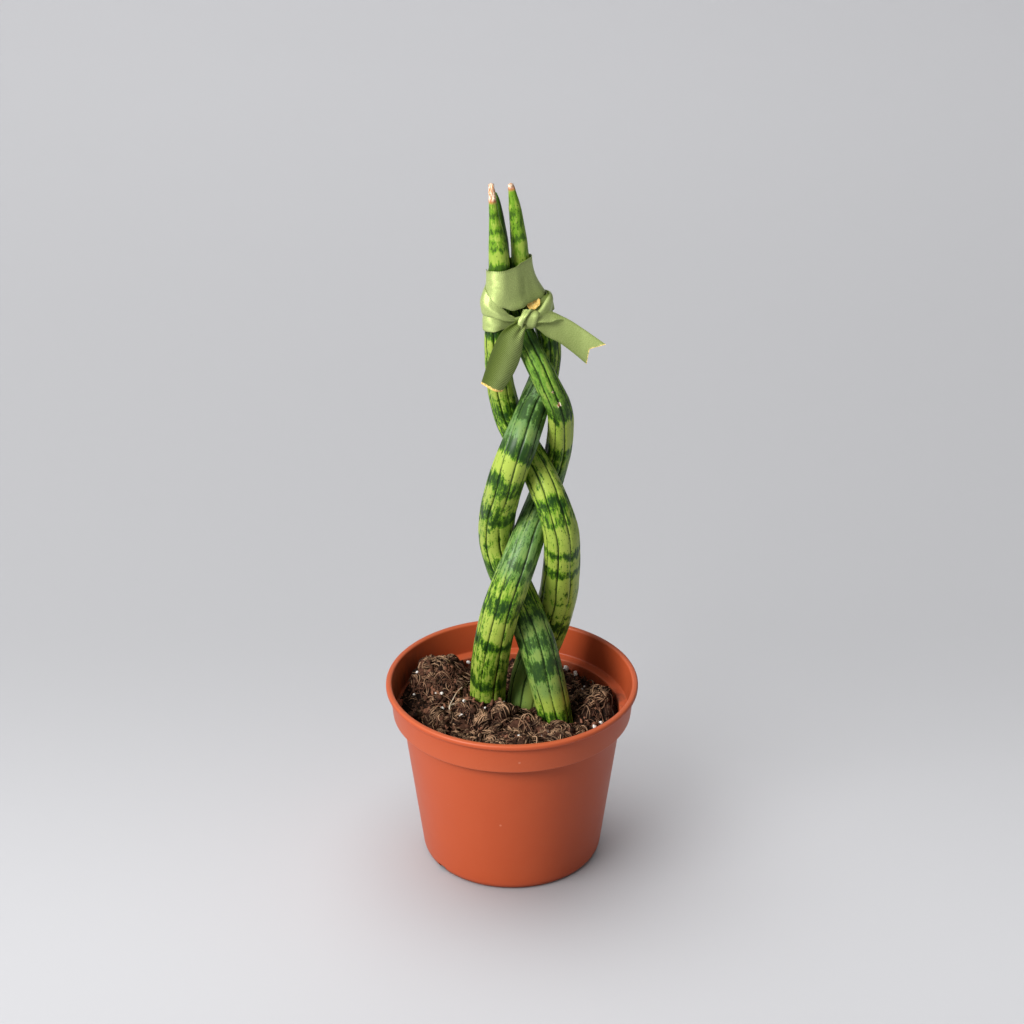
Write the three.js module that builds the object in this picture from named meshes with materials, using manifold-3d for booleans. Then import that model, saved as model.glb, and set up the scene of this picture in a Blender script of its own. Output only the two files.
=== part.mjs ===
// A braided cylindrical snake plant in a terracotta-coloured nursery pot.
// Three round, grooved leaves are plaited upright and held near their tips by satin ribbon.
// Millimetres, +Z up. The origin is the middle of the pot's foot, on the surface it stands on.

import * as THREE from 'three';
import { mergeVertices } from 'three/addons/utils/BufferGeometryUtils.js';
import Module from 'manifold-3d';

const wasm = await Module();
wasm.setup();

// ---------------------------------------------------------------- driving dimensions

const GAP = 0.35; // clearance kept between pieces that touch
const BENT_GAP = 0.65; // the same where flat facets run along a rounder neighbour

const POT = {
  rimRadius: 60,
  rimTop: 90.8,
  lipHeight: 2.6,
  lipWidth: 1.7,
  bandTopRadius: 58.2,
  bandBottomRadius: 56.9,
  bandBottom: 74.6,
  bodyTopRadius: 52.4,
  bodyBottomRadius: 43.6,
  footRadius: 41.6,
  footWidth: 3.4,
  footHeight: 2.4,
  wall: 1.2,
  ledgeHeight: 74.4, // the inner ledge where the wall steps out under the band
  heelHeight: 5.6, // the inner wall's lower end
  sides: 60,
};

const DRAIN_HOLES = { count: 8, ring: 29, radius: 3.6, sides: 12 };
const FOOT_NOTCHES = { count: 3, first: -52, width: 5.5, height: 1.5 };

const SOIL = {
  level: 70.5,
  edgeDrop: 2.5,
  floorHeight: 3.6,
  rings: 14,
  sides: 52,
  clumps: 70,
  seed: 11,
};

// Larger heaps and hollows of the soil: centre, reach and height over its level.
const MOUNDS = [
  { x: -36, y: 21, reach: 21, height: 15 },
  { x: -17, y: -5, reach: 13, height: 10 },
  { x: -7, y: -10, reach: 12, height: 10 },
  { x: 22, y: -18, reach: 12, height: 4.5 },
  { x: 10, y: -16, reach: 9, height: 6 },
  { x: 43, y: 6, reach: 14, height: 8 },
  { x: -36, y: -8, reach: 15, height: 6 },
  { x: 0, y: -38, reach: 22, height: 5 },
  { x: 6, y: 34, reach: 20, height: 4 },
];

// Each leaf passes these heights, at the [x, y, radius] listed for it.
const LEAF_HEIGHTS = [
  48, 68, 88, 110, 130, 145, 160, 175, 190, 205, 220, 235, 250, 265, 280, 295, 311, 326, 337,
];
const LEAVES = {
  leaf_left: {
    groovePhase: 20,
    tipDrop: 6,
    route: [
      [-11, 12.5, 7.0], [-11.7, 8.5, 8.3], [-11.3, 2.5, 8.6], [-9.5, -5, 8.8], [-6.2, -10, 8.8],
      [-1.7, -10.2, 8.7], [4.3, -5.2, 8.1], [10.8, 4.3, 7.2], [17, 11.8, 6.6], [20.7, 9.3, 6.15],
      [21.9, 1.5, 5.9], [20.9, -6.5, 5.75], [14.5, -8.5, 5.5], [6.5, -2.5, 5.15], [0.3, 3, 4.95],
      [-4.3, 5.6, 4.5], [-5.2, 5.9, 3.4], [-6.3, 5.6, 1.5], [-7.1, 5.5, 0.6],
    ],
  },
  leaf_right: {
    groovePhase: 8,
    tipDrop: 0,
    route: [
      [22.5, -6.5, 6.6], [21.5, -6.6, 8.0], [17.8, -6.2, 8.4], [12.3, -3, 8.8], [4.2, 5, 8.8],
      [-3, 10.1, 8.7], [-6.9, 10, 8.5], [-6.8, 4.2, 8.35], [-4.8, -4.3, 8.25], [-1.5, -10.9, 8.2],
      [4.1, -8.3, 8.0], [11, 4.3, 6.9], [15.7, 7.2, 5.95], [15.9, 5.6, 5.3], [11.5, 3.4, 4.95],
      [4.8, 1.2, 4.4], [3.0, 0.4, 3.7], [1.3, -0.3, 2.75], [-0.5, -0.4, 1.2],
    ],
  },
  leaf_back: {
    groovePhase: 30,
    tipDrop: -1.5,
    route: [
      [3.5, 11.5, 6.8], [5.6, 12.2, 8.2], [9.6, 15, 9.0], [17.6, 17.1, 9.3], [21.8, 12.4, 9.1],
      [22.8, 4.7, 8.8], [23.1, -3.2, 8.4], [22.2, -8.3, 8.1], [17.6, -7.8, 7.7], [9.6, 0.9, 7.25],
      [0, 9, 6.7], [-4.2, 7.7, 6.3], [-6, 2.5, 5.9], [-6.6, -2.8, 5.55], [-6.2, -6, 5.25],
      [-5.5, -6.6, 5.0], [-6.1, -5.9, 4.2], [-7.9, -5.2, 1.9], [-8.8, -5, 1.3],
    ],
  },
};
const LEAF_STEPS = 3; // rings between two listed heights
const GROOVES = 8;
const GROOVE_DEPTH = 0.4;
const GROOVE_HALF_ANGLE = 9; // degrees

// Edge heights of the ribbon's turns at angles round the bundle: 0 is the front, +90 the right.
const RIBBON_THICKNESS = 0.8;
const RIBBON_SIDES = 48;
const WRAP_EDGES = [
  { angle: -180, low: 286.5, high: 300, bulge: 0 },
  { angle: -90, low: 289, high: 297, bulge: 0 },
  { angle: -45, low: 286.6, high: 301, bulge: 0 },
  { angle: -15, low: 284.6, high: 303, bulge: 0 },
  { angle: 15, low: 284.9, high: 303.5, bulge: 0 },
  { angle: 50, low: 286.4, high: 304, bulge: 0 },
  { angle: 90, low: 288.4, high: 304, bulge: 0 },
];
const TIE_EDGES = [
  { angle: -180, low: 271, high: 286, bulge: 0.8 },
  { angle: -90, low: 271.2, high: 288.4, bulge: 1.5 },
  { angle: -45, low: 271.5, high: 286, bulge: 0.8 },
  { angle: -10, low: 274, high: 281.5, bulge: 0 },
  { angle: 35, low: 275, high: 281.5, bulge: 0 },
  { angle: 60, low: 277, high: 285.5, bulge: 0.4 },
  { angle: 90, low: 277.8, high: 287.6, bulge: 0.8 },
];
const KNOT = { centre: [7.8, -8, 278.2], half: [3.7, 3.4, 5.0] };

// Pairs of edge points along each ribbon tail, from the knot to its cut end.
const TAIL_THICKNESS = 0.8;
const TAILS = {
  left: {
    cup: 1.6,
    notch: 0,
    edges: [
      [[5, -8.2, 280], [8, -8, 275]],
      [[-3.9, -12.6, 276.6], [4.1, -11.6, 273.2]],
      [[-6.5, -14, 272], [4.2, -12, 266.8]],
      [[-9.6, -14.5, 263.8], [3.1, -12, 259.7]],
      [[-11.6, -14, 256.9], [-0.2, -11.5, 252.3]],
      [[-13.7, -12.5, 249.1], [-4.4, -10, 244.4]],
    ],
  },
  right: {
    cup: 1.2,
    notch: 3.5,
    edges: [
      [[8, -7.4, 280.5], [8.4, -8.2, 275.5]],
      [[16.9, -4, 280], [15.3, -9, 270.5]],
      [[24.2, -2, 275.9], [20.6, -10, 267.8]],
      [[31.7, -1.5, 270.8], [26.3, -10, 263.3]],
      [[41.6, -1.5, 263.4], [32.6, -9.5, 257.4]],
    ],
  },
};

// ---------------------------------------------------------------- small helpers

const radians = THREE.MathUtils.degToRad;

function seededRandom(seed) {
  let state = seed;
  return () => {
    state = (state * 16807) % 2147483647;
    return state / 2147483647;
  };
}

function meshFromTriangles(points, triangles) {
  const geometry = new THREE.BufferGeometry();
  const flat = points.flatMap((p) => [p.x, p.y, p.z]);
  geometry.setAttribute('position', new THREE.Float32BufferAttribute(flat, 3));
  geometry.setIndex(triangles);
  return geometry;
}

// Skins a stack of closed rings, each listed counter-clockwise as seen from the last ring's side.
// Each end closes on its own point, or with no point given, flat across the ring's two halves.
function loft(rings, startPoint, endPoint) {
  const sides = rings[0].length;
  const points = rings.flat();
  const triangles = [];
  for (let i = 0; i + 1 < rings.length; i += 1) {
    for (let j = 0; j < sides; j += 1) {
      const next = (j + 1) % sides;
      const a = i * sides + j;
      const b = i * sides + next;
      triangles.push(a, b, b + sides, a, b + sides, a + sides);
    }
  }
  const last = (rings.length - 1) * sides;
  if (startPoint) {
    const start = points.push(startPoint) - 1;
    const end = points.push(endPoint) - 1;
    for (let j = 0; j < sides; j += 1) {
      const next = (j + 1) % sides;
      triangles.push(start, next, j, end, last + j, last + next);
    }
  } else {
    for (let j = 0; j + 1 < sides / 2; j += 1) {
      const across = sides - 1 - j;
      triangles.push(j, across - 1, j + 1, j, across, across - 1);
      triangles.push(last + j, last + j + 1, last + across - 1);
      triangles.push(last + j, last + across - 1, last + across);
    }
  }
  return meshFromTriangles(points, triangles);
}

function solidOf(geometry) {
  const bare = geometry.clone();
  bare.deleteAttribute('normal');
  bare.deleteAttribute('uv');
  const merged = mergeVertices(bare, 1e-4);
  return new wasm.Manifold(new wasm.Mesh({
    numProp: 3,
    vertProperties: new Float32Array(merged.attributes.position.array),
    triVerts: new Uint32Array(merged.index.array),
  }));
}

function geometryOf(solid) {
  const mesh = solid.getMesh();
  const geometry = new THREE.BufferGeometry();
  geometry.setAttribute('position', new THREE.Float32BufferAttribute(mesh.vertProperties, 3));
  geometry.setIndex(Array.from(mesh.triVerts));
  return geometry;
}

// Value of a listed edge quantity at an angle, eased between the listed angles.
function edgeValue(edges, name, angle) {
  const last = { ...edges[0], angle: 180 };
  const stops = [...edges, last];
  const index = Math.max(1, stops.findIndex((stop) => stop.angle >= angle));
  const before = stops[index - 1];
  const after = stops[index];
  const share = (angle - before.angle) / (after.angle - before.angle);
  return THREE.MathUtils.lerp(before[name], after[name], THREE.MathUtils.smoothstep(share, 0, 1));
}

// ---------------------------------------------------------------- pot

function potProfile() {
  const { rimRadius, rimTop, lipHeight, lipWidth, wall } = POT;
  const inner = POT.bodyTopRadius - wall;
  return [
    [0, POT.footHeight],
    [POT.footRadius - POT.footWidth - 0.6, POT.footHeight],
    [POT.footRadius - POT.footWidth, 0],
    [POT.footRadius, 0],
    [POT.bodyBottomRadius - 0.5, 1.9],
    [POT.bodyBottomRadius, 5.3],
    [POT.bodyTopRadius, POT.bandBottom - 1.2],
    [POT.bodyTopRadius + 0.8, POT.bandBottom - 0.2],
    [POT.bandBottomRadius - 0.4, POT.bandBottom],
    [POT.bandBottomRadius, POT.bandBottom + 0.7],
    [POT.bandTopRadius, rimTop - lipHeight],
    [rimRadius - 0.3, rimTop - lipHeight + 0.2],
    [rimRadius, rimTop - lipHeight + 0.9],
    [rimRadius - 0.2, rimTop - 0.5],
    [rimRadius - 1, rimTop],
    [rimRadius - lipWidth - 0.6, rimTop],
    [rimRadius - lipWidth - 1.1, rimTop - 0.6],
    [POT.bandBottomRadius - wall, POT.bandBottom + 1.4],
    [inner + 0.6, POT.bandBottom + 0.8],
    [inner, POT.ledgeHeight],
    [POT.bodyBottomRadius - wall, POT.heelHeight],
    [POT.bodyBottomRadius - wall - 1, SOIL.floorHeight],
    [0, SOIL.floorHeight],
  ].map(([r, z]) => new THREE.Vector2(r, z));
}

// Radius of the inside of the wall at a height between its heel and its ledge.
function innerRadius(z) {
  const share = (z - POT.heelHeight) / (POT.ledgeHeight - POT.heelHeight);
  return THREE.MathUtils.lerp(POT.bodyBottomRadius, POT.bodyTopRadius, share) - POT.wall;
}

// LatheGeometry turns about Y, so its axis is stood up along Z.
function turned(profile, sides) {
  return new THREE.LatheGeometry(profile, sides).rotateX(Math.PI / 2);
}

function potGeometry() {
  let pot = solidOf(turned(potProfile(), POT.sides));
  for (let i = 0; i < DRAIN_HOLES.count; i += 1) {
    const angle = (i + 0.5) / DRAIN_HOLES.count * 2 * Math.PI;
    const hole = new THREE.CylinderGeometry(
      DRAIN_HOLES.radius, DRAIN_HOLES.radius, 6, DRAIN_HOLES.sides,
    );
    hole.rotateX(Math.PI / 2);
    hole.translate(
      DRAIN_HOLES.ring * Math.sin(angle), -DRAIN_HOLES.ring * Math.cos(angle), POT.footHeight,
    );
    pot = pot.subtract(solidOf(hole));
  }
  for (let i = 0; i < FOOT_NOTCHES.count; i += 1) {
    const angle = radians(FOOT_NOTCHES.first + i * 360 / FOOT_NOTCHES.count);
    const notch = new THREE.BoxGeometry(FOOT_NOTCHES.width, 8, 2 * FOOT_NOTCHES.height);
    notch.translate(0, -(POT.footRadius - 1), 0);
    notch.rotateZ(angle);
    pot = pot.subtract(solidOf(notch));
  }
  return geometryOf(pot);
}

// ---------------------------------------------------------------- leaves

function leafCurve(leaf) {
  const points = leaf.route.map(([x, y], i) => new THREE.Vector3(x, y, LEAF_HEIGHTS[i]));
  points[points.length - 1].z -= leaf.tipDrop;
  return new THREE.CatmullRomCurve3(points, false, 'catmullrom', 0.5);
}

function leafRadius(leaf, t) {
  const place = t * (leaf.route.length - 1);
  const index = Math.min(Math.floor(place), leaf.route.length - 2);
  return THREE.MathUtils.lerp(leaf.route[index][2], leaf.route[index + 1][2], place - index);
}

// A ring of points square to the curve, turned so that its first axis stays close to +X.
function ringAt(curve, t, angles, radii) {
  const centre = curve.getPoint(t);
  const tangent = curve.getTangent(t);
  const side = new THREE.Vector3(1, 0, 0).addScaledVector(tangent, -tangent.x).normalize();
  const back = new THREE.Vector3().crossVectors(tangent, side);
  return angles.map((angle, j) => centre.clone()
    .addScaledVector(side, radii[j] * Math.cos(angle))
    .addScaledVector(back, radii[j] * Math.sin(angle)));
}

function leafGeometry(leaf) {
  const curve = leafCurve(leaf);
  const angles = [];
  const inset = [];
  for (let i = 0; i < GROOVES; i += 1) {
    const middle = i * 360 / GROOVES + leaf.groovePhase;
    for (const step of [-1, 0, 1]) {
      angles.push(radians(middle + step * GROOVE_HALF_ANGLE));
      inset.push(step === 0 ? 1 : 0);
    }
  }
  const count = (leaf.route.length - 1) * LEAF_STEPS;
  const rings = [];
  for (let i = 0; i <= count; i += 1) {
    const radius = leafRadius(leaf, i / count);
    const depth = Math.min(GROOVE_DEPTH, 0.05 * radius);
    rings.push(ringAt(curve, i / count, angles, inset.map((share) => radius - share * depth)));
  }
  const foot = curve.getPoint(0).add(new THREE.Vector3(0, 0, -2));
  const tip = curve.getPoint(1).add(new THREE.Vector3(0, 0, 0.8));
  return loft(rings, foot, tip);
}

// The plain hole in the soil that a leaf stands in.
function socketGeometry(leaf) {
  const sides = 16;
  const top = 3; // listed height that the hole runs up to, above the soil
  const curve = leafCurve(leaf);
  const angles = Array.from({ length: sides }, (_, j) => 2 * Math.PI * j / sides);
  const roundness = 1 / Math.cos(Math.PI / sides);
  const rings = [];
  for (let i = 0; i <= top * LEAF_STEPS; i += 1) {
    const t = i / LEAF_STEPS / (leaf.route.length - 1);
    const radius = (leafRadius(leaf, t) + BENT_GAP) * roundness;
    rings.push(ringAt(curve, t, angles, angles.map(() => radius)));
  }
  for (const point of rings[0]) point.z -= GAP;
  const foot = curve.getPoint(0).add(new THREE.Vector3(0, 0, -2 - 2 * GAP));
  return loft(rings, foot, curve.getPoint(top / (leaf.route.length - 1)));
}

// ---------------------------------------------------------------- soil

function soilClumps() {
  const random = seededRandom(SOIL.seed);
  return Array.from({ length: SOIL.clumps }, () => {
    const angle = 2 * Math.PI * random();
    const ring = 50 * Math.sqrt(random());
    return {
      x: ring * Math.cos(angle),
      y: ring * Math.sin(angle),
      reach: 4.5 + 5 * random(),
      height: 1 + 3 * random(),
    };
  });
}

const CLUMPS = soilClumps();

// Height of one round heap at a place: full in its middle, nothing past its reach.
function heapHeight(heap, x, y) {
  const away = ((x - heap.x) ** 2 + (y - heap.y) ** 2) / heap.reach ** 2;
  return away < 1 ? heap.height * (1 - away) : 0;
}

function soilHeight(x, y) {
  const mound = Math.max(...MOUNDS.map((heap) => heapHeight(heap, x, y)));
  const clump = Math.max(...CLUMPS.map((heap) => heapHeight(heap, x, y)));
  return SOIL.level + mound + clump;
}

function soilGeometry() {
  const low = SOIL.floorHeight + GAP;
  const shoulder = SOIL.level - SOIL.edgeDrop;
  const reach = innerRadius(shoulder) - GAP;
  const ring = (radius, heightAt) => Array.from({ length: SOIL.sides }, (_, j) => {
    const angle = 2 * Math.PI * j / SOIL.sides;
    const x = radius * Math.cos(angle);
    const y = radius * Math.sin(angle);
    return new THREE.Vector3(x, y, heightAt(x, y));
  });
  const rings = [
    ring(innerRadius(POT.heelHeight) - GAP - 1.6, () => low),
    ring(innerRadius(POT.heelHeight) - GAP, () => POT.heelHeight + GAP),
    ring(reach - 0.3, () => shoulder - 2.5),
  ];
  for (let i = 0; i < SOIL.rings; i += 1) {
    const radius = reach * (1 - i / SOIL.rings);
    const drop = i === 0 ? SOIL.edgeDrop : 0;
    rings.push(ring(radius, (x, y) => soilHeight(x, y) - drop));
  }
  const centre = new THREE.Vector3(0, 0, soilHeight(0, 0));
  let soil = solidOf(loft(rings, new THREE.Vector3(0, 0, low), centre));
  for (const leaf of Object.values(LEAVES)) soil = soil.subtract(solidOf(socketGeometry(leaf)));
  return geometryOf(soil);
}

// ---------------------------------------------------------------- ribbon

const SAMPLES = 240; // places along each leaf at which the ribbon looks up its course
const LEAF_SAMPLES = Object.values(LEAVES).map((leaf) => {
  const curve = leafCurve(leaf);
  return Array.from({ length: SAMPLES + 1 }, (_, i) => {
    const { x, y, z } = curve.getPoint(i / SAMPLES);
    const run = curve.getTangent(i / SAMPLES);
    const radius = leafRadius(leaf, i / SAMPLES);
    return { x, y, z, radius, leanX: run.x / run.z, leanY: run.y / run.z };
  });
});

function leavesAt(z) {
  return LEAF_SAMPLES.map((samples) => {
    const index = samples.findIndex((sample) => sample.z >= z);
    const before = samples[index - 1];
    const after = samples[index];
    const share = (z - before.z) / (after.z - before.z);
    const blend = (name) => [name, THREE.MathUtils.lerp(before[name], after[name], share)];
    return Object.fromEntries(Object.keys(after).map(blend));
  });
}

// Distance from the bundle's middle to a band pulled tight round the leaves, at one height.
function bundleRadius(z, angle) {
  const leaves = leavesAt(z);
  const middle = bundleMiddle(z);
  let nearest = Infinity;
  for (let turn = -80; turn <= 80; turn += 4) {
    const facing = angle + radians(turn);
    const nx = Math.sin(facing);
    const ny = -Math.cos(facing);
    let reach = -Infinity;
    for (const leaf of leaves) {
      const centre = (leaf.x - middle.x) * nx + (leaf.y - middle.y) * ny;
      const lean = leaf.leanX * nx + leaf.leanY * ny;
      reach = Math.max(reach, centre + leaf.radius * Math.hypot(1, lean));
    }
    nearest = Math.min(nearest, reach / Math.cos(radians(turn)));
  }
  return nearest;
}

function bundleMiddle(z) {
  const leaves = leavesAt(z);
  const x = leaves.reduce((sum, leaf) => sum + leaf.x, 0) / leaves.length;
  const y = leaves.reduce((sum, leaf) => sum + leaf.y, 0) / leaves.length;
  return { x, y };
}

function bundlePoint(z, angle, offset) {
  const middle = bundleMiddle(z);
  const radius = bundleRadius(z, angle) + offset;
  return new THREE.Vector3(
    middle.x + radius * Math.sin(angle), middle.y - radius * Math.cos(angle), z,
  );
}

// A closed band round the bundle: at each angle, a loop of points up its outside and down inside.
function bandGeometry(edges) {
  const levels = 5;
  const loops = [];
  for (let j = 0; j < RIBBON_SIDES; j += 1) {
    const degrees = -180 + 360 * j / RIBBON_SIDES;
    const low = edgeValue(edges, 'low', degrees);
    const high = edgeValue(edges, 'high', degrees);
    const bulge = edgeValue(edges, 'bulge', degrees);
    const outside = [];
    const inside = [];
    for (let k = 0; k < levels; k += 1) {
      const share = k / (levels - 1);
      const z = THREE.MathUtils.lerp(low, high, share);
      const offset = BENT_GAP + bulge * Math.sin(Math.PI * share);
      outside.push(bundlePoint(z, radians(degrees), offset + RIBBON_THICKNESS));
      inside.push(bundlePoint(z, radians(degrees), offset));
    }
    loops.push([...outside, ...inside.reverse()]);
  }
  const size = loops[0].length;
  const triangles = [];
  for (let j = 0; j < RIBBON_SIDES; j += 1) {
    for (let k = 0; k < size; k += 1) {
      const a = j * size + k;
      const b = j * size + (k + 1) % size;
      const c = ((j + 1) % RIBBON_SIDES) * size + k;
      const d = ((j + 1) % RIBBON_SIDES) * size + (k + 1) % size;
      triangles.push(a, c, d, a, d, b);
    }
  }
  return meshFromTriangles(loops.flat(), triangles);
}

// A cupped strip between two edge curves, closed all round, with an optional swallowtail cut.
function tailGeometry(tail) {
  const across = 4;
  const along = 12;
  const curves = [0, 1].map((side) => new THREE.CatmullRomCurve3(
    tail.edges.map((pair) => new THREE.Vector3(...pair[side])), false, 'catmullrom', 0.5,
  ));
  const rings = [];
  for (let i = 0; i <= along; i += 1) {
    const [first, second] = curves.map((curve) => curve.getPoint(i / along));
    const width = second.clone().sub(first).normalize();
    const run = curves[0].getTangent(i / along).add(curves[1].getTangent(i / along)).normalize();
    const front = new THREE.Vector3().crossVectors(run, width).normalize();
    const share = Math.min(1, 2 * i / along);
    const cut = i === along ? tail.notch : 0;
    const face = [];
    const rear = [];
    for (let k = 0; k <= across; k += 1) {
      const middle = 1 - Math.abs(2 * k / across - 1);
      const point = first.clone().lerp(second, k / across);
      point.addScaledVector(front, tail.cup * share * Math.sin(Math.PI * k / across));
      point.addScaledVector(run, -cut * middle);
      face.push(point.clone().addScaledVector(front, TAIL_THICKNESS / 2));
      rear.push(point.clone().addScaledVector(front, -TAIL_THICKNESS / 2));
    }
    rings.push([...face.reverse(), ...rear]);
  }
  return loft(rings);
}

function knotGeometry() {
  const knot = new THREE.SphereGeometry(1, 16, 10);
  knot.scale(...KNOT.half);
  knot.translate(...KNOT.centre);
  return knot;
}

function ribbonTieGeometry() {
  let tie = solidOf(bandGeometry(TIE_EDGES)).add(solidOf(knotGeometry()));
  for (const tail of Object.values(TAILS)) tie = tie.add(solidOf(tailGeometry(tail)));
  return geometryOf(tie);
}

// ---------------------------------------------------------------- the plant

const MATERIALS = {
  pot: { color: 0xb75335, roughness: 0.5, metalness: 0 },
  soil: { color: 0x3a261b, roughness: 0.95, metalness: 0 },
  leaf: { color: 0x6f9a3a, roughness: 0.5, metalness: 0 },
  ribbon: { color: 0x93a962, roughness: 0.4, metalness: 0 },
};

const plant = new THREE.Group();

function addPiece(name, geometry, material) {
  const mesh = new THREE.Mesh(geometry, new THREE.MeshStandardMaterial(MATERIALS[material]));
  mesh.name = name;
  plant.add(mesh);
}

addPiece('pot', potGeometry(), 'pot');
addPiece('soil', soilGeometry(), 'soil');
for (const [name, leaf] of Object.entries(LEAVES)) addPiece(name, leafGeometry(leaf), 'leaf');
addPiece('ribbon_wrap', bandGeometry(WRAP_EDGES), 'ribbon');
addPiece('ribbon_tie', ribbonTieGeometry(), 'ribbon');

export default plant;
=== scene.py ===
"""Braided cylindrical snake plant in a terracotta-coloured nursery pot, tied with satin ribbon.

Run as a script in Blender. Sizes in the tables are millimetres, and meshes are made in metres.
"""

import math

import bmesh
import bpy
import numpy as np
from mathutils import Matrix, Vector, noise


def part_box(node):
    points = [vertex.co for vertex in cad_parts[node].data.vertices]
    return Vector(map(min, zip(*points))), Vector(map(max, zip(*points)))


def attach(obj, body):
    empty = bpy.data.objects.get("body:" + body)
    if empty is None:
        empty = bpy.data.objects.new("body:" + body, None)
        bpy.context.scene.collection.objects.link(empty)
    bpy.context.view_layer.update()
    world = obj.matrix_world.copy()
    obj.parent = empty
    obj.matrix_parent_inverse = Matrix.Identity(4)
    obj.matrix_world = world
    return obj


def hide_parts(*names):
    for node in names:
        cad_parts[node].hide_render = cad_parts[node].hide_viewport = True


bl_info = {
    "name": "Braided Snake Plant",
    "version": (1, 0, 0),
    "blender": (4, 5, 0),
    "location": "3D View > Sidebar > Plant",
    "description": "Builds a braided cylindrical snake plant in its nursery pot",
    "category": "Object",
}

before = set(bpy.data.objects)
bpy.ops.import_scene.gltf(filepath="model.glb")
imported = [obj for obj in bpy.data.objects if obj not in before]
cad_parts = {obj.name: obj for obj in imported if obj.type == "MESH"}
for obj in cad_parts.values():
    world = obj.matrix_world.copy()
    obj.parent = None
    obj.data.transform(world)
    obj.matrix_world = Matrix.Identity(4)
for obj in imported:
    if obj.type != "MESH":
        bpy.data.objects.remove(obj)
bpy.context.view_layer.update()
POT_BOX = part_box("pot")
MM = 0.001
ROOT = "root"

# ------------------------------------------------------------------ sizes of the frame, in mm

RIM_RADIUS = POT_BOX[1].x / MM
RIM_TOP = POT_BOX[1].z / MM

POT = {
    "lip_height": 2.6,
    "lip_width": 1.7,
    "band_top_radius": 58.2,
    "band_bottom_radius": 56.9,
    "band_bottom": 74.6,
    "body_top_radius": 52.4,
    "body_bottom_radius": 43.6,
    "foot_radius": 41.6,
    "foot_width": 3.4,
    "foot_height": 2.4,
    "floor_top": 3.6,
    "ledge_height": 74.4,
    "heel_height": 5.6,
    "hole_count": 8,
    "hole_ring": 29.0,
    "notch_count": 3,
    "notch_first": -52.0,
    "notch_width": 5.5,
    "notch_height": 2.7,
}
# Small scuffs: centre and radius.
SCUFFS = [((3.4, -57.4, 80.5), 0.35), ((-5.4, -48.0, 39.8), 0.4)]

SOIL_LEVEL = 70.5
SOIL_EDGE = 50.0  # radius of the fill at the wall
SOIL_LEDGE_EDGE = 55.0  # and where it spills over the pot's inner ledge
SOIL_EDGE_DROP = 2.5  # how far the surface sinks towards its edge
SOIL_RINGS = 96
SOIL_SIDES = 300
# The soil's body below its edge: depth, how far in from the ledge, and how far below the ledge.
SOIL_SKIRTS = ((40, 6.0, 2.0), (3, 0.8, 2.0), (0.4, -0.4, -1.1))
LEDGE_COVER = 1.3  # how far the soil stays above the ledge
ROOT_MAT = ((-37, 21), 14)  # centre and reach of the mat of roots
TINY_PERLITE = 30
SPILL_TURNS = (-14, -10, -6, -2, 2, 6, 10, 14)  # degrees that the spill is evened over

# Heaps of the soil: x, y, reach and height over its level.
MOUNDS = [
    (-36, 21, 21, 15),
    (-17, -5, 13, 10),
    (-7, -10, 12, 10),
    (22, -18, 12, 4.5),
    (10, -16, 9, 6),
    (43, 6, 14, 8),
    (-36, -8, 15, 6),
    (0, -38, 22, 5),
    (6, 34, 20, 4),
]
CLUMP_COUNT = 70
CLUMP_SEED = 11

# More soil banked up against the left of the wall, over the pot's ledge.
BANKS = [(-52, 1, 14, 8.5), (-50, -14, 13, 8), (-44, -27, 12, 7), (-47, 26, 12, 8)]

# Perlite grains: x, y and radius.
PERLITE_SPOTS = [
    (-21.5, 45, 1.1), (-22.7, -6.2, 0.95), (-33.4, -6.2, 1.3), (-24, -11.7, 1.15),
    (-33.7, 5.8, 0.85), (-47, 6, 0.65), (-36.6, 5.5, 0.6), (26.7, 38, 1.6), (31.3, 38, 1.1),
    (42.2, -9.6, 1.15), (39.2, -14.3, 0.95), (14.6, -25.3, 0.75), (15.8, -22, 0.85),
    (16.9, -25.3, 0.7), (3.3, -31.2, 0.75), (31.6, 36.3, 1.0), (29.1, 34.3, 0.8),
    (7.9, -30.9, 0.65), (23.6, 33, 0.7), (-46, 19, 0.8), (-15, -29, 0.5), (-6, -33, 0.55),
]
# Thick roots: the way they run, radius, how high they arch, and tone.
PALE_ROOTS = [
    ([(-29.6, -7.0), (-29.8, -4.4), (-28.8, -1.4), (-26.8, 1.4), (-24.2, 3.6), (-21.8, 5.2)],
     0.42, 1.3, 0.95),
    ([(-31.0, -2.0), (-28.6, 3), (-25.8, 8), (-22.6, 13), (-19.4, 18)], 0.3, 1.5, 0.4),
]

# Each leaf passes these heights, at the (x, y, radius) listed for it.
LEAF_HEIGHTS = [
    48, 68, 88, 110, 130, 145, 160, 175, 190, 205, 220, 235, 250, 265, 280, 295, 311, 326, 337,
]

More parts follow.
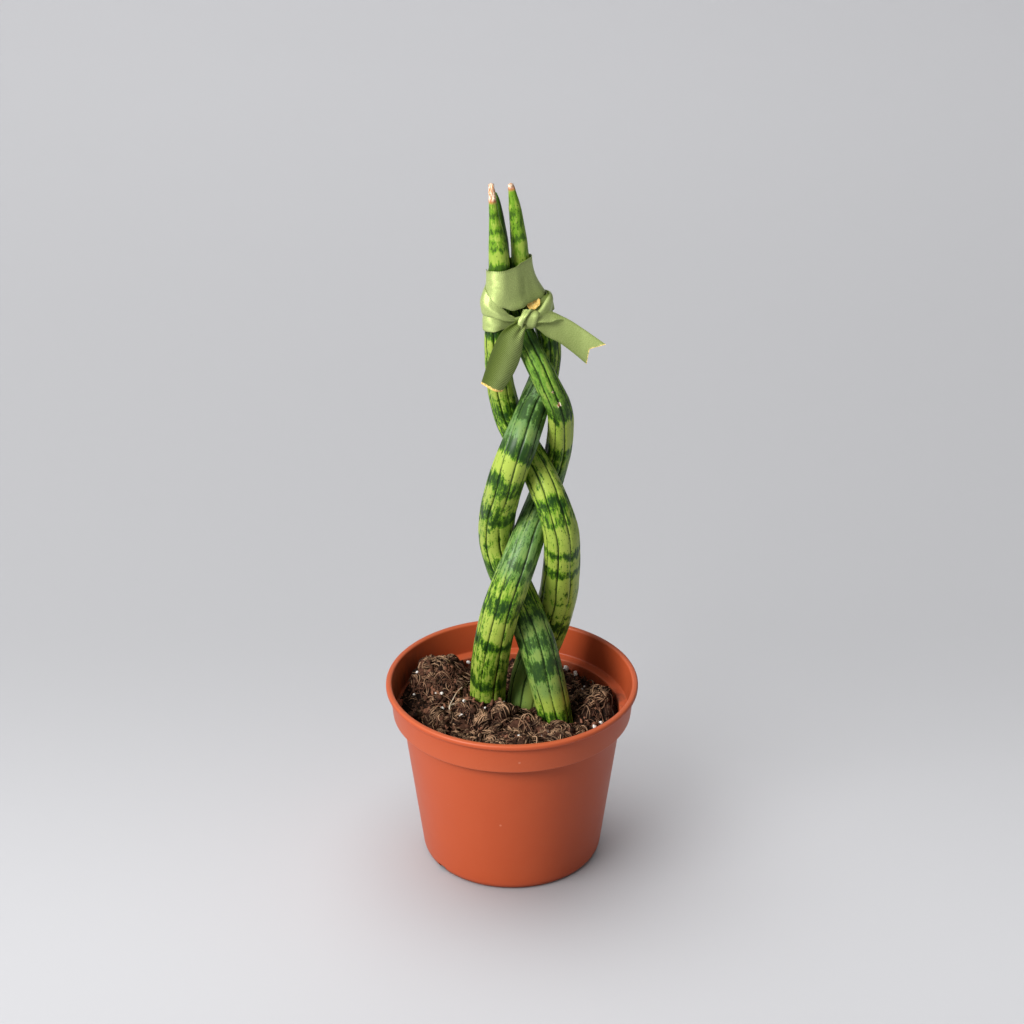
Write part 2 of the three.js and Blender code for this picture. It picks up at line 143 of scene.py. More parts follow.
# "shade" says how dark the markings are at heights up the leaf, from 0, pale, to 1, a full band.
# "calm" lists stretches, from and to which height, how plain the markings are, and how
# much dust and painted sheen they get.
LEAVES = {
    "leaf_left": {
        "groove_phase": 20,
        "tip_drop": 6,
        "seed": 3,
        "dry_from": 400,
        "scars": [(239.9, 287, 1.5), (245.3, 284, 0.9)],
        "calm": [(151, 200, 0.4, 0.85), (236, 268, 1, 0.25), (298, 400, 1, 0)],
        "route": [
            (-11, 12.5, 7.0), (-11.7, 8.5, 8.3), (-11.3, 2.5, 8.6), (-9.5, -5, 8.8),
            (-6.2, -10, 8.8), (-1.7, -10.2, 8.7), (4.3, -5.2, 8.1), (10.8, 4.3, 7.2),
            (17, 11.8, 6.6), (20.7, 9.3, 6.15), (21.9, 1.5, 5.9), (20.9, -6.5, 5.75),
            (14.5, -8.5, 5.5), (6.5, -2.5, 5.15), (0.3, 3, 4.95), (-4.3, 5.6, 4.5),
            (-5.2, 5.9, 3.4), (-6.3, 5.6, 1.5), (-7.1, 5.5, 0.6),
        ],
        "shade": [
            (46, 0.5), (72, 0.35), (78, 0.5), (84, 0.35), (88.5, 0.45), (90.5, 0.85), (95, 0.75),
            (97, 0.4), (106, 0.45), (115.5, 0.4),
            (116.8, 0.98), (119.5, 0.95), (121, 0.35), (127, 0.2), (132.5, 0.3), (134.5, 0.85),
            (139.5, 0.9), (141.5, 0.55), (146, 0.4), (153.5, 0.45), (154.6, 0.85), (156.8, 0.8),
            (158, 0.47), (166, 0.52), (175, 0.5), (186, 0.56), (197, 0.54), (205.5, 0.5),
            (207, 0.85), (212, 0.8), (214, 0.12), (229.5, 0.08), (231, 0.85), (237, 0.7),
            (239, 0.55), (245, 0.62), (251, 0.55), (258, 0.52), (260.5, 0.75), (270, 0.9),
            (285, 0.5), (300, 0.8), (332, 0.85),
        ],
    },
    "leaf_right": {
        "groove_phase": 8,
        "tip_drop": 0,
        "seed": 17,
        "dry_from": 334.4,
        "scars": [],
        "calm": [(88, 124, 0.1, 0.65), (217, 244, 0.5, 1.0), (298, 400, 1, 0)],
        "route": [
            (22.5, -6.5, 6.6), (21.5, -6.6, 8.0), (17.8, -6.2, 8.4), (12.3, -3, 8.8),
            (4.2, 5, 8.8), (-3, 10.1, 8.7), (-6.9, 10, 8.5), (-6.8, 4.2, 8.35),
            (-4.8, -4.3, 8.25), (-1.5, -10.9, 8.2), (4.1, -8.3, 8.0), (11, 4.3, 6.9),
            (15.7, 7.2, 5.95), (15.9, 5.6, 5.3), (11.5, 3.4, 4.95), (4.8, 1.2, 4.4),
            (3.0, 0.4, 3.7), (1.3, -0.3, 2.75), (-0.5, -0.4, 1.2),
        ],
        "shade": [
            (46, 0.5), (75, 0.75), (79.5, 0.7), (81, 0.25), (95, 0.25), (97, 0.85), (104, 0.9),
            (105.5, 0.45), (109.5, 0.4), (110.5, 0.85), (115, 0.8), (116.5, 0.3), (120, 0.3),
            (121.5, 0.85), (124, 0.8), (127, 0.45), (143, 0.6), (145, 0.9), (152, 0.85),
            (154, 0.4), (176.5, 0.28), (178.5, 0.9), (185, 0.9), (187, 0.4), (191, 0.3),
            (196.5, 0.4), (198.5, 0.85), (203.5, 0.9), (205, 0.12), (211.5, 0.12), (213, 0.95),
            (217, 0.95), (219, 0.5), (222, 0.3), (224.5, 0.75), (231, 0.8), (234, 0.4),
            (240, 0.7), (256, 0.55), (262, 0.8), (270, 0.7), (280, 0.5), (300.5, 0.75),
            (302.5, 0.34), (311, 0.34), (312, 0.8), (313.8, 0.75), (315, 0.5), (319, 0.6),
            (328, 0.62), (330, 0.5), (337, 0.5),
        ],
    },
    "leaf_back": {
        "groove_phase": 30,
        "tip_drop": -1.5,
        "seed": 29,
        "dry_from": 330.2,
        "scars": [],
        "calm": [(50, 104, 0.3, 0.6), (298, 400, 1, 0)],
        "route": [
            (3.5, 11.5, 6.8), (5.6, 12.2, 8.2), (9.6, 15, 9.0), (17.6, 17.1, 9.3),
            (21.8, 12.4, 9.1), (22.8, 4.7, 8.8), (23.1, -3.2, 8.4), (22.2, -8.3, 8.1),
            (17.6, -7.8, 7.7), (9.6, 0.9, 7.25), (0, 9, 6.7), (-4.2, 7.7, 6.3),
            (-6, 2.5, 5.9), (-6.6, -2.8, 5.55), (-6.2, -6, 5.25), (-5.5, -6.6, 5.0),
            (-6.1, -5.9, 4.2), (-7.9, -5.2, 1.9), (-8.8, -5, 1.3),
        ],
        # Painted light: the pale foot, to 87 mm, and the low values at 118–150 mm, where the leaf
        # is in shade.
        "shade": [
            (46, 0.0), (74, 0.0), (80, 0.05), (87, 0.2), (92, 0.85), (100, 0.55), (107, 0.25),
            (110.5, 0.25), (112, 0.82), (117, 0.75), (118.5, 0.15), (121, 0.45),
            (124, 0.35), (128, 0.12), (131, 0.44), (135, 0.34), (139, 0.4), (141, 0.1),
            (149.5, 0.12), (150.8, 0.75), (155, 0.72), (156.5, 0.12),
            (163, 0.4), (164, 0.85), (165.5, 0.8), (167, 0.2), (178, 0.22), (180, 0.55),
            (185, 0.5), (186.5, 0.9), (189.5, 0.85), (191, 0.22), (199, 0.3), (203, 0.55),
            (218, 0.7), (221, 0.6), (228, 0.75), (233, 0.5), (240, 0.25), (245, 0.3),
            (252, 0.6), (262, 0.3), (266, 0.15), (268, 0.8), (274, 0.9), (290, 0.6),
            (301.4, 0.8), (302.4, 0.75), (303.6, 0.25), (307.9, 0.25), (308.8, 0.8),
            (309.8, 0.75), (310.8, 0.4), (311.9, 0.45), (312.5, 0.7), (313.2, 0.65), (314, 0.4),
            (316.2, 0.42), (317, 0.8), (318, 0.7), (318.8, 0.3), (323, 0.35), (323.9, 0.7),
            (325, 0.62), (326.4, 0.45), (330, 0.5),
        ],
    },
}
LEAF_RINGS = 330
COURSE_POINTS = 400  # along each leaf, where the ribbons and the soil measure it
GROOVES = 8
PANEL_STEPS = (0.0, 2.0, 4.2, 7.0, 11.5, 17.0, 22.5, 28.0, 33.5, 38.0, 40.8, 43.0)  # degrees

# Edge heights of the ribbon's turns at angles round the bundle: 0 is the front, +90 the right.
# The columns are angle, low edge, high edge, bulge, and how far the low and high edges stand off.
WRAP_EDGES = [
    (-180, 286.5, 300, 0, 0, 0),
    (-90, 288, 297, 0, 0.1, 0.2),
    (-50, 286.6, 300.6, 0.2, 0.4, 0.3),
    (-23, 285.0, 301.6, 0.7, 0.6, 0.4),
    (-4, 282.9, 301.8, 1.3, 1.1, 0.7),
    (20, 283.3, 302.2, 1.2, 1.1, 0.7),
    (51, 284.8, 303.5, 0.4, 0.5, 0.4),
    (80, 285.5, 304.2, 0, 0.2, 0.3),
    (96, 286.8, 304.3, 0, 0.1, 0.2),
]
WRAP_END_EDGES = [
    (-180, 284, 286, 0, 0, 0),
    (40, 283.6, 286.6, 0, 0.6, 0),
    (45, 282.1, 286.6, 0, 1.2, 0),
    (56, 281.6, 286.8, 0, 1.5, 0),
    (70, 282.6, 288, 0, 1.4, 0),
    (78, 285.0, 289, 0, 1.0, 0),
]
UPPER_TURN_EDGES = [
    (-180, 276, 287, 0.6, 0, 0),
    (-110, 278.8, 292, 1.6, 0.3, 0),
    (-66, 280, 292.8, 2.1, 0.5, 0.1),
    (-50, 280.7, 292.2, 2.1, 0.6, 0.2),
    (-40, 280.8, 290.2, 1.7, 0.6, 0.2),
    (-31, 279.7, 287.7, 1.2, 0.6, 0.2),
    (-23, 278.0, 285.0, 0.9, 0.5, 0.1),
    (-14, 277.6, 280.9, 0.5, 0.4, 0),
    (-4, 277.4, 279.2, 0.3, 0.2, 0),
    (35, 276.8, 280, 0.2, 0, 0),
    (60, 277.6, 282.5, 0.2, 0, 0),
    (90, 278.4, 286, 0.6, 0, 0),
]
LOWER_TURN_EDGES = [
    (-180, 271.5, 281, 0.3, 0, 0),
    (-90, 271.6, 283, 0.9, 0.5, 0),
    (-62, 272.5, 282.6, 0.9, 0.5, 0),
    (-48, 273.0, 281.8, 0.8, 0.5, 0),
    (-34, 274.2, 280.6, 0.4, 0.3, 0),
    (-14, 274.8, 279, 0, 0, 0),
    (35, 275.6, 279, 0, 0, 0),
    (60, 277.2, 281, 0, 0, 0),
    (90, 278.2, 284, 0, 0, 0),
]
KNOT_CENTRE = (7.7, -8.8, 278.1)
KNOT_HALF = (3.7, 2.9, 4.2)

# Pairs of edge points along each strip of the ribbon, away from the knot or, the loop, to it.
LEFT_TAIL = [
    ((4.8, -10.6, 280.4), (6.4, -10.6, 276.0)),
    ((1.8, -12.9, 278.8), (5.6, -12.8, 273.8)),
    ((-2.0, -14.4, 276.8), (5.0, -13.2, 270.9)),
    ((-5.0, -15.0, 274.1), (4.6, -13.0, 267.8)),
    ((-7.8, -14.9, 268.3), (4.0, -12.3, 263.5)),
    ((-9.9, -14.1, 262.5), (2.6, -11.5, 258.1)),
    ((-11.8, -12.8, 255.7), (-0.4, -10.5, 251.3)),
    ((-13.7, -11.0, 248.7), (-4.4, -9.0, 244.1)),
]
RIGHT_TAIL = [
    ((8.4, -8.6, 279.6), (8.6, -9.6, 276.2)),
    ((12.4, -7.0, 280.3), (11.8, -9.6, 273.5)),
    ((16.9, -5.2, 279.9), (15.3, -9.2, 270.3)),
    ((24.1, -4.0, 276.7), (20.7, -8.8, 267.3)),
    ((31.5, -4.2, 271.9), (26.4, -8.4, 262.7)),
    ((41.4, -5.0, 264.8), (32.8, -8.2, 256.9)),
]
RIGHT_FOLD = [
    ((9.6, -9.0, 280.2), (9.8, -10.8, 277.4)),
    ((12.8, -7.0, 281.4), (13.2, -10.2, 277.2)),
    ((16.2, -4.9, 280.8), (17.0, -8.7, 276.8)),
    ((19.5, -3.9, 279.1), (20.2, -6.6, 277.1)),
    ((24.3, -2.8, 276.2), (24.4, -3.4, 275.6)),
]
LEFT_FOLD = [
    ((5.0, -10.2, 283.4), (8.6, -9.8, 283.2)),
    ((3.9, -11.8, 281.2), (6.9, -12.0, 281.6)),
    ((2.7, -12.8, 278.8), (5.3, -12.9, 279.2)),
    ((2.6, -12.9, 276.4), (4.5, -13.0, 276.6)),
    ((3.3, -12.4, 274.6), (4.2, -12.4, 274.6)),
]
LOOP = [
    ((8.0, 12.5, 285.0), (8.6, 12.0, 278.6)),
    ((13.4, 7.6, 286.0), (14.1, 7.2, 278.8)),
    ((16.0, 3.6, 286.8), (16.7, 3.0, 279.2)),
    ((16.7, 0.2, 287.4), (17.3, -0.8, 279.8)),
    ((16.2, -2.4, 287.4), (16.4, -4.2, 279.6)),
    ((14.8, -4.4, 285.8), (14.0, -6.8, 279.2)),
    ((12.8, -6.4, 283.0), (12.0, -8.4, 278.6)),
    ((10.4, -8.4, 280.8), (10.2, -9.2, 278.2)),
]

# Colours that few would change.
DUST_COLOUR = (0.75, 0.50, 0.38)
SCUFF_COLOUR = (0.82, 0.45, 0.30)
SCAB_COLOUR = (0.50, 0.19, 0.06)
DRY_RIM_COLOUR = (0.45, 0.14, 0.04)
# Painted shade in the pits of the perlite.
PERLITE_PIT_SHADE = (0.45, 0.38, 0.31)
PALE_ROOT_COLOURS = (0.30, 0.19, 0.11), (0.80, 0.69, 0.54)
# Dims the deep colour on the ribbon's dull side, as painted shade.
DULL_SHADE_TINT = (0.5, 0.55, 0.18)
AMBER_TINT = (0.85, 0.68, 0.5)

# How finely the pot is cut, and the heights that the holes' cutters span.
POT_SIDES = 224
HOLE_SIDES = 40
HOLE_SPAN = (1.0, 5.0)

# Camera and lights, in metres; each light has a place, a target and a size.
KEY_LIGHT = (-0.85, -0.8, 0.95), (0, 0, 0.17), 0.55
FLOOR_LIGHT = (-0.85, -0.8, 1.3), (0, 0, 0.05), 1.1
OVERHEAD_LIGHT = (-0.7, 0.9, 3.0), (0.0, 0.2, 0.0), 4.5
SURROUND_COLOUR = (0.97, 0.98, 1.0, 1.0)
CAMERA_PLACE = (0.0, -0.95306, 0.65582)
CAMERA_PITCH = 26.54  # degrees below level
CAMERA_LENS = 81.6  # this and the sensor in mm
SENSOR_WIDTH = 36.0
# The floor is painted dimmer behind the plant and paler again farther back, as painted shade
# and painted light: from and to, in mm back from the plant's middle, and by how much.
FLOOR_SHADE = (-130.0, 230.0, 0.24)
FLOOR_LIFT = (300.0, 1700.0, 0.16)


# ------------------------------------------------------------------ settings


def colour_setting(name, description, default):
    return bpy.props.FloatVectorProperty(
        name=name, description=description, default=default, size=3, min=0.0, max=1.0,
        subtype="COLOR",
    )


def length_setting(name, description, default):
    return bpy.props.FloatProperty(
        name=name, description=description, default=default * MM, min=0.0, unit="LENGTH",
        precision=5,
    )


def count_setting(name, description, default):
    return bpy.props.IntProperty(name=name, description=description, default=default, min=0)


def power_setting(name, description, default):
    return bpy.props.FloatProperty(
        name=name, description=description, default=default, min=0.0, subtype="POWER",
    )


class PotSettings(bpy.types.PropertyGroup):
    """Sizes and colours of the pot."""

    plastic: colour_setting("Plastic", "Colour of the moulded plastic", (0.43, 0.070, 0.020))
    wear_and_highlight: colour_setting("Worn edge", "Colour where the rim is rubbed", (0.54, 0.125, 0.050))
    dirt: colour_setting("Dirt", "Colour of dried soil on the wall", (0.09, 0.05, 0.032))
    wall: length_setting("Wall", "Thickness of the wall", 1.2)
    hole: length_setting("Drain hole", "Radius of each drain hole", 3.6)


class LeafSettings(bpy.types.PropertyGroup):
    """Colours and grooves of the leaves."""

    pale: colour_setting("Pale", "Colour between the bands", (0.33, 0.425, 0.064))
    green: colour_setting("Green", "Cooler green of the pale stretches", (0.13, 0.265, 0.014))
    band: colour_setting("Band", "Colour of the dark bands", (0.013, 0.046, 0.005))
    groove: colour_setting("Groove", "Colour along the grooves", (0.006, 0.020, 0.003))
    # Partly dust and partly painted sheen.
    bloom_and_sheen: colour_setting("Bloom", "Colour of the dusty bloom on a leaf", (0.11, 0.215, 0.077))
    dry: colour_setting("Dry tip", "Colour of a dried tip", (0.92, 0.80, 0.62))
    depth: length_setting("Groove depth", "Depth of the grooves along the leaf", 0.55)
    width: length_setting("Groove width", "Half width of the grooves", 0.46)


class SoilSettings(bpy.types.PropertyGroup):
    """Colours and amounts of the potting mix."""

    dark: colour_setting("Dark", "Colour of the damp peat", (0.010, 0.005, 0.003))
    brown: colour_setting("Brown", "Colour of the bark and crumbs", (0.18, 0.078, 0.045))
    fibre: colour_setting("Fibre", "Colour of the loose root fibres", (0.52, 0.31, 0.18))
    perlite: colour_setting("Perlite", "Colour of the perlite grains", (0.90, 0.88, 0.84))
    crumbs: count_setting("Crumbs", "Number of crumbs of peat and bark", 2000)
    clods: count_setting("Clods", "Number of clods wound with coir", 190)
    fibres: count_setting("Fibres", "Number of loose fibres", 700)


class RibbonSettings(bpy.types.PropertyGroup):
    """Colours and weave of the ribbon."""

    satin: colour_setting("Satin", "Colour of the satin", (0.63, 0.745, 0.27))
    # Deep satin is the colour of the painted shade in the weave's hollows.
    deep: colour_setting("Deep satin", "Colour in the weave's hollows", (0.16, 0.22, 0.040))
    # The cut end's own cream, set extra bright as painted light where it sits in the wrap's shade.
    cut: colour_setting("Cut end", "Colour of the sealed cut end", (1.0, 0.76, 0.26))
    thickness: length_setting("Thickness", "Thickness of the ribbon", 0.34)
    rib: length_setting("Rib", "Distance between the ribs of the weave", 0.8)


class StageSettings(bpy.types.PropertyGroup):
    """Floor and light."""

    floor: colour_setting("Floor", "Colour of the floor and backdrop", (0.50, 0.50, 0.515))
    key: power_setting("Key light", "Power of the soft light on the plant", 22.0)
    floor_key: power_setting("Floor light", "Power of the soft light on everything", 14.0)
    overhead: power_setting("Overhead", "Power of the wide light on the backdrop", 150.0)
    fill: bpy.props.FloatProperty(
        name="Surround", description="Strength of the surrounding light", default=0.25, min=0.0,
    )


# ------------------------------------------------------------------ node helpers


class NodeWriter:
    """Adds nodes to one tree. A value given for an input is set on it, and a socket is linked."""

    def __init__(self, tree):
        self.tree = tree

    def add(self, kind, inputs=None, **settings):
        made = self.tree.nodes.new(kind)
        for name, value in settings.items():
            setattr(made, name, value)
        for name, value in (inputs or {}).items():
            self.put(made.inputs[name], value)
        return made

    def put(self, socket, value):
        if isinstance(value, bpy.types.NodeSocket):
            self.tree.links.new(value, socket)
        elif socket.type == "RGBA" and len(value) == 3:
            socket.default_value = (*value, 1.0)
        else:
            socket.default_value = value

    def math(self, operation, first, second=0.0):
        return self.add("ShaderNodeMath", {0: first, 1: second}, operation=operation).outputs[0]

    def plus(self, first, second):
        return self.math("ADD", first, second)

    def minus(self, first, second):
        return self.math("SUBTRACT", first, second)

    def times(self, first, second):
        return self.math("MULTIPLY", first, second)

    def clamp(self, value):
        return self.add("ShaderNodeClamp", {"Value": value}).outputs[0]

    def ease(self, value, low, high):
        """0 below low and 1 above high, with a soft step between them."""
        made = self.add("ShaderNodeMapRange", {"Value": value, "From Min": low, "From Max": high},
                        interpolation_type="SMOOTHSTEP")
        return made.outputs["Result"]

    def mix(self, share, first, second):
        made = self.add("ShaderNodeMix", {0: share, 6: first, 7: second}, data_type="RGBA")
        return made.outputs[2]

    def noise(self, vector, scale, detail=2.0, roughness=0.5):
        made = self.add("ShaderNodeTexNoise", {
            "Vector": vector, "Scale": scale, "Detail": detail, "Roughness": roughness,
        })
        return made.outputs["Fac"]

    def stretch(self, vector, factors):
        made = self.add("ShaderNodeVectorMath", {0: vector, 1: factors}, operation="MULTIPLY")
        return made.outputs[0]

    def attribute(self, name):
        return self.add("ShaderNodeAttribute", attribute_name=name, attribute_type="GEOMETRY")

    def painted(self, name):
        """The number that the mesh stores under a name."""
        return self.attribute(name).outputs["Fac"]

    def group(self, tree, inputs):
        made = self.tree.nodes.new("ShaderNodeGroup")
        made.node_tree = tree
        for name, value in inputs.items():
            self.put(made.inputs[name], value)
        return made

    def place(self):
        """Place on the plant in millimetres."""
        at = self.add("ShaderNodeTexCoord").outputs["Object"]
        return self.stretch(at, (1 / MM,) * 3)


def new_group(name, inputs, outputs):
    """An empty node group, with its writer, input node and output node."""
    tree = bpy.data.node_groups.new(name, "ShaderNodeTree")
    for label, kind, default in inputs:
        socket = tree.interface.new_socket(label, in_out="INPUT", socket_type=kind)
        if default is not None:
            socket.default_value = default
    for label, kind in outputs:
        tree.interface.new_socket(label, in_out="OUTPUT", socket_type=kind)
    writer = NodeWriter(tree)
    entry = tree.nodes.new("NodeGroupInput")
    leave = tree.nodes.new("NodeGroupOutput")
    return tree, writer, entry.outputs, leave.inputs


def shared_group(name, build):
    return bpy.data.node_groups.get(name) or build(name)


def build_mottling(name):
    """Soft patches that vary between 0 and 1 over a surface."""
    tree, w, given, out = new_group(
        name,
        [("Vector", "NodeSocketVector", None), ("Size", "NodeSocketFloat", 5.0),
         ("Contrast", "NodeSocketFloat", 1.0)],
        [("Mask", "NodeSocketFloat")],
    )
    small = w.math("DIVIDE", 1.0, given["Size"])
    patches = w.noise(given["Vector"], small, detail=4.0, roughness=0.6)
    centred = w.times(w.minus(patches, 0.5), given["Contrast"])
    spread = w.plus(w.times(centred, 3.0), 0.5)
    w.put(out["Mask"], w.clamp(spread))
    return tree


def build_specks(name):
    """Scattered small dots, 1 in a dot and 0 between them."""
    tree, w, given, out = new_group(
        name,
        [("Vector", "NodeSocketVector", None), ("Spacing", "NodeSocketFloat", 3.0),
         ("Dot", "NodeSocketFloat", 0.2)],
        [("Mask", "NodeSocketFloat")],
    )
    wobble = w.noise(given["Vector"], 1.7, detail=1.0)
    cells = w.add("ShaderNodeTexVoronoi", {
        "Vector": given["Vector"], "Scale": w.math("DIVIDE", 1.0, given["Spacing"]),
    })
    rough = w.plus(cells.outputs["Distance"], w.times(wobble, 0.12))
    edge = w.plus(given["Dot"], 0.06)
    dot = w.minus(1.0, w.ease(rough, given["Dot"], edge))
    chosen = w.add("ShaderNodeSeparateColor", {"Color": cells.outputs["Color"]}).outputs[0]
    w.put(out["Mask"], w.times(dot, w.math("GREATER_THAN", chosen, 0.55)))
    return tree


def mottling(w, vector, size, contrast=1.0):
    tree = shared_group("Mottling", build_mottling)
    return w.group(tree, {"Vector": vector, "Size": size, "Contrast": contrast}).outputs["Mask"]


def specks(w, vector, spacing, dot):
    tree = shared_group("Specks", build_specks)
    return w.group(tree, {"Vector": vector, "Spacing": spacing, "Dot": dot}).outputs["Mask"]


def new_material(name, colour):
    """A material with its writer and its surface shader."""
    material = bpy.data.materials.new(name)
    material.use_nodes = True
    material.diffuse_color = (*colour, 1.0)
    shader = material.node_tree.nodes["Principled BSDF"]
    return material, NodeWriter(material.node_tree), shader


def bump(w, shader, height, strength, distance):
    """Relief from a height, over a distance in mm."""
    made = w.add("ShaderNodeBump", {
        "Height": height, "Strength": strength, "Distance": distance * MM,
    })
    w.put(shader.inputs["Normal"], made.outputs["Normal"])


def toned(colour, share):
    """The colour times one share, or times one for each of its channels."""
    return np.multiply(colour, share).tolist()


# ------------------------------------------------------------------ materials


def pot_material(settings):
    material, w, shader = new_material("Terracotta plastic", settings.plastic)
    place = w.place()
    patches = mottling(w, place, 16.0, 0.7)
    dusty = [0.5 * c + 0.5 * d for c, d in zip(settings.plastic, settings.wear_and_highlight)]
    colour = w.mix(w.times(patches, 0.22), settings.plastic, dusty)
    # Wear at the rim and band edge, and a painted highlight along the inner ledge.
    colour = w.mix(w.times(w.painted("rubbed_and_highlit"), 0.55), colour, settings.wear_and_highlight)
    grime = mottling(w, w.stretch(place, (1.0, 1.0, 0.45)), 5.0, 1.4)
    soiled = w.times(w.painted("soiled"), grime)
    colour = w.mix(w.times(soiled, 0.85), colour, settings.dirt)
    # Painted shade on the inner wall, from the soil up to just below the rim.
    colour = w.mix(w.times(w.painted("inner"), 0.5), colour, toned(settings.plastic, 0.45))
    colour = w.mix(w.times(specks(w, place, 7.0, 0.035), 0.35), colour, DUST_COLOUR)
    for centre, size in SCUFFS:
        away = w.add("ShaderNodeVectorMath", {0: place, 1: centre}, operation="DISTANCE")
        spot = w.minus(1.0, w.ease(away.outputs["Value"], size, size + 0.4))
        colour = w.mix(w.times(spot, 0.22), colour, SCUFF_COLOUR)
    w.put(shader.inputs["Base Color"], colour)
    shader.inputs["Specular IOR Level"].default_value = 0.25
    gloss = w.plus(0.38, w.times(patches, 0.1))
    w.put(shader.inputs["Roughness"], w.plus(gloss, w.times(soiled, 0.4)))
    rings = w.noise(w.stretch(place, (0.02, 0.02, 1.3)), 1.0, detail=3.0)
    grain = w.noise(place, 2.2, detail=3.0)
    height = w.plus(w.times(rings, 0.7), w.times(grain, 0.35))
    bump(w, shader, height, 0.35, 0.05)
    return material


def leaf_material(settings):
    material, w, shader = new_material("Snake plant leaf", settings.pale)
    place = w.attribute("leaf_place").outputs["Vector"]
    shade = w.painted("shade")
    groove = w.painted("groove")
    fingers = w.noise(w.stretch(place, (0.95, 0.95, 0.16)), 1.0, detail=3.0, roughness=0.6)
    blots = w.noise(w.stretch(place, (0.32, 0.32, 0.2)), 1.0, detail=3.0, roughness=0.65)
    dots = w.noise(w.stretch(place, (1.5, 1.5, 0.9)), 1.0, detail=3.0, roughness=0.7)
    soft = w.times(w.minus(fingers, 0.5), 1.8)
    soft = w.plus(soft, w.times(w.minus(blots, 0.5), 1.9))
    ragged = w.plus(soft, w.times(w.minus(dots, 0.5), 1.0))
    flecks = w.times(w.ease(dots, 0.60, 0.65), 0.4)
    calm = w.painted("calm")
    ragged = w.times(w.plus(ragged, flecks), w.minus(1.0, w.times(calm, 0.6)))
    darkness = w.plus(shade, ragged)
    dark = w.ease(darkness, 0.6, 0.64)

    drift = mottling(w, w.stretch(place, (1.0, 1.0, 0.35)), 6.0, 1.0)
    cool = w.plus(w.times(drift, 0.45), w.times(groove, 0.4))
    cool = w.plus(cool, w.times(w.painted("cool"), 0.4))
    cool = w.times(w.minus(cool, 0.3), 0.8)
    wash = w.plus(shade, w.times(soft, 0.8))
    cool = w.plus(cool, w.ease(wash, 0.28, 0.6))
    cool = w.plus(cool, w.times(calm, 0.25))
    cool = w.clamp(cool)
    light = w.mix(cool, settings.pale, settings.green)
    spots = specks(w, w.stretch(place, (1.0, 1.0, 0.6)), 1.6, 0.19)
    light = w.mix(w.times(spots, 0.7), light, settings.band)
    deep = [0.6 * c + 0.4 * g for c, g in zip(settings.band, settings.green)]
    bands = w.mix(w.ease(darkness, 1.05, 0.6), settings.band, deep)
    # Dusty stretches take a bluish colour, partly dust and partly painted sheen, also on the bands.
    dusty = w.painted("dusty")
    bloom_and_sheen = w.times(dusty, w.plus(0.6, w.times(drift, 0.4)))
    light = w.mix(bloom_and_sheen, light, settings.bloom_and_sheen)
    bands = w.mix(w.times(bloom_and_sheen, 0.7), bands, toned(settings.bloom_and_sheen, 0.45))
    colour = w.mix(dark, light, bands)
    broken = w.times(w.minus(w.plus(dots, blots), 1.0), 0.8)
    lines = w.ease(w.plus(groove, broken), 0.36, 0.66)
    colour = w.mix(w.times(lines, 0.8), colour, settings.groove)

    crackle = w.noise(w.stretch(place, (1.6, 1.6, 0.5)), 1.0, detail=4.0, roughness=0.7)
    scab = w.ease(w.plus(w.painted("scar"), crackle), 0.95, 1.05)
    tan = w.mix(w.ease(crackle, 0.44, 0.56), SCAB_COLOUR, settings.dry)
    tan = w.mix(w.painted("rim"), tan, DRY_RIM_COLOUR)
    dried = w.painted("dry")
    colour = w.mix(w.math("MAXIMUM", scab, dried), colour, tan)
    w.put(shader.inputs["Base Color"], colour)

    waxy = w.plus(0.36, w.times(drift, 0.12))
    w.put(shader.inputs["Roughness"], w.plus(waxy, w.times(dried, 0.35)))
    shader.inputs["Specular IOR Level"].default_value = 0.16
    shader.inputs["Coat Weight"].default_value = 0.06
    shader.inputs["Coat Roughness"].default_value = 0.3
    fibres = w.noise(w.stretch(place, (3.2, 3.2, 0.16)), 1.0, detail=2.0)
    pores = w.noise(place, 2.6, detail=2.0)
    height = w.plus(w.times(fibres, 0.7), w.times(pores, 0.3))
    height = w.plus(height, w.times(w.times(crackle, dried), 4.0))
    height = w.minus(height, w.times(dark, 0.12))
    bump(w, shader, height, 0.5, 0.12)
    return material


def soil_material(name, first, second, roughness):
    """An earthy finish between two colours, as far as each strand's or crumb's tone says."""
    material, w, shader = new_material(name, first)
    place = w.place()
    fine = w.minus(mottling(w, place, 1.6, 1.0), 0.5)
    broad = w.minus(mottling(w, place, 9.0, 1.0), 0.5)
    tone = w.plus(w.painted("tone"), w.times(fine, 0.55))
    tone = w.plus(tone, w.times(broad, 0.3))
    tone = w.clamp(tone)
    w.put(shader.inputs["Base Color"], w.mix(tone, first, second))
    shader.inputs["Roughness"].default_value = roughness
    shader.inputs["Specular IOR Level"].default_value = 0.12
    bump(w, shader, w.noise(place, 1.6, detail=5.0, roughness=0.7), 0.8, 0.5)
    return material


def perlite_material(settings):
    material, w, shader = new_material("Perlite", settings.perlite)
    place = w.place()
    pits = w.noise(place, 2.5, detail=3.0, roughness=0.7)
    # Painted shade in the pits.
    colour = w.mix(w.ease(pits, 0.35, 0.6), PERLITE_PIT_SHADE, settings.perlite)
    w.put(shader.inputs["Base Color"], colour)
    shader.inputs["Roughness"].default_value = 0.85
    bump(w, shader, pits, 0.9, 0.3)
    return material


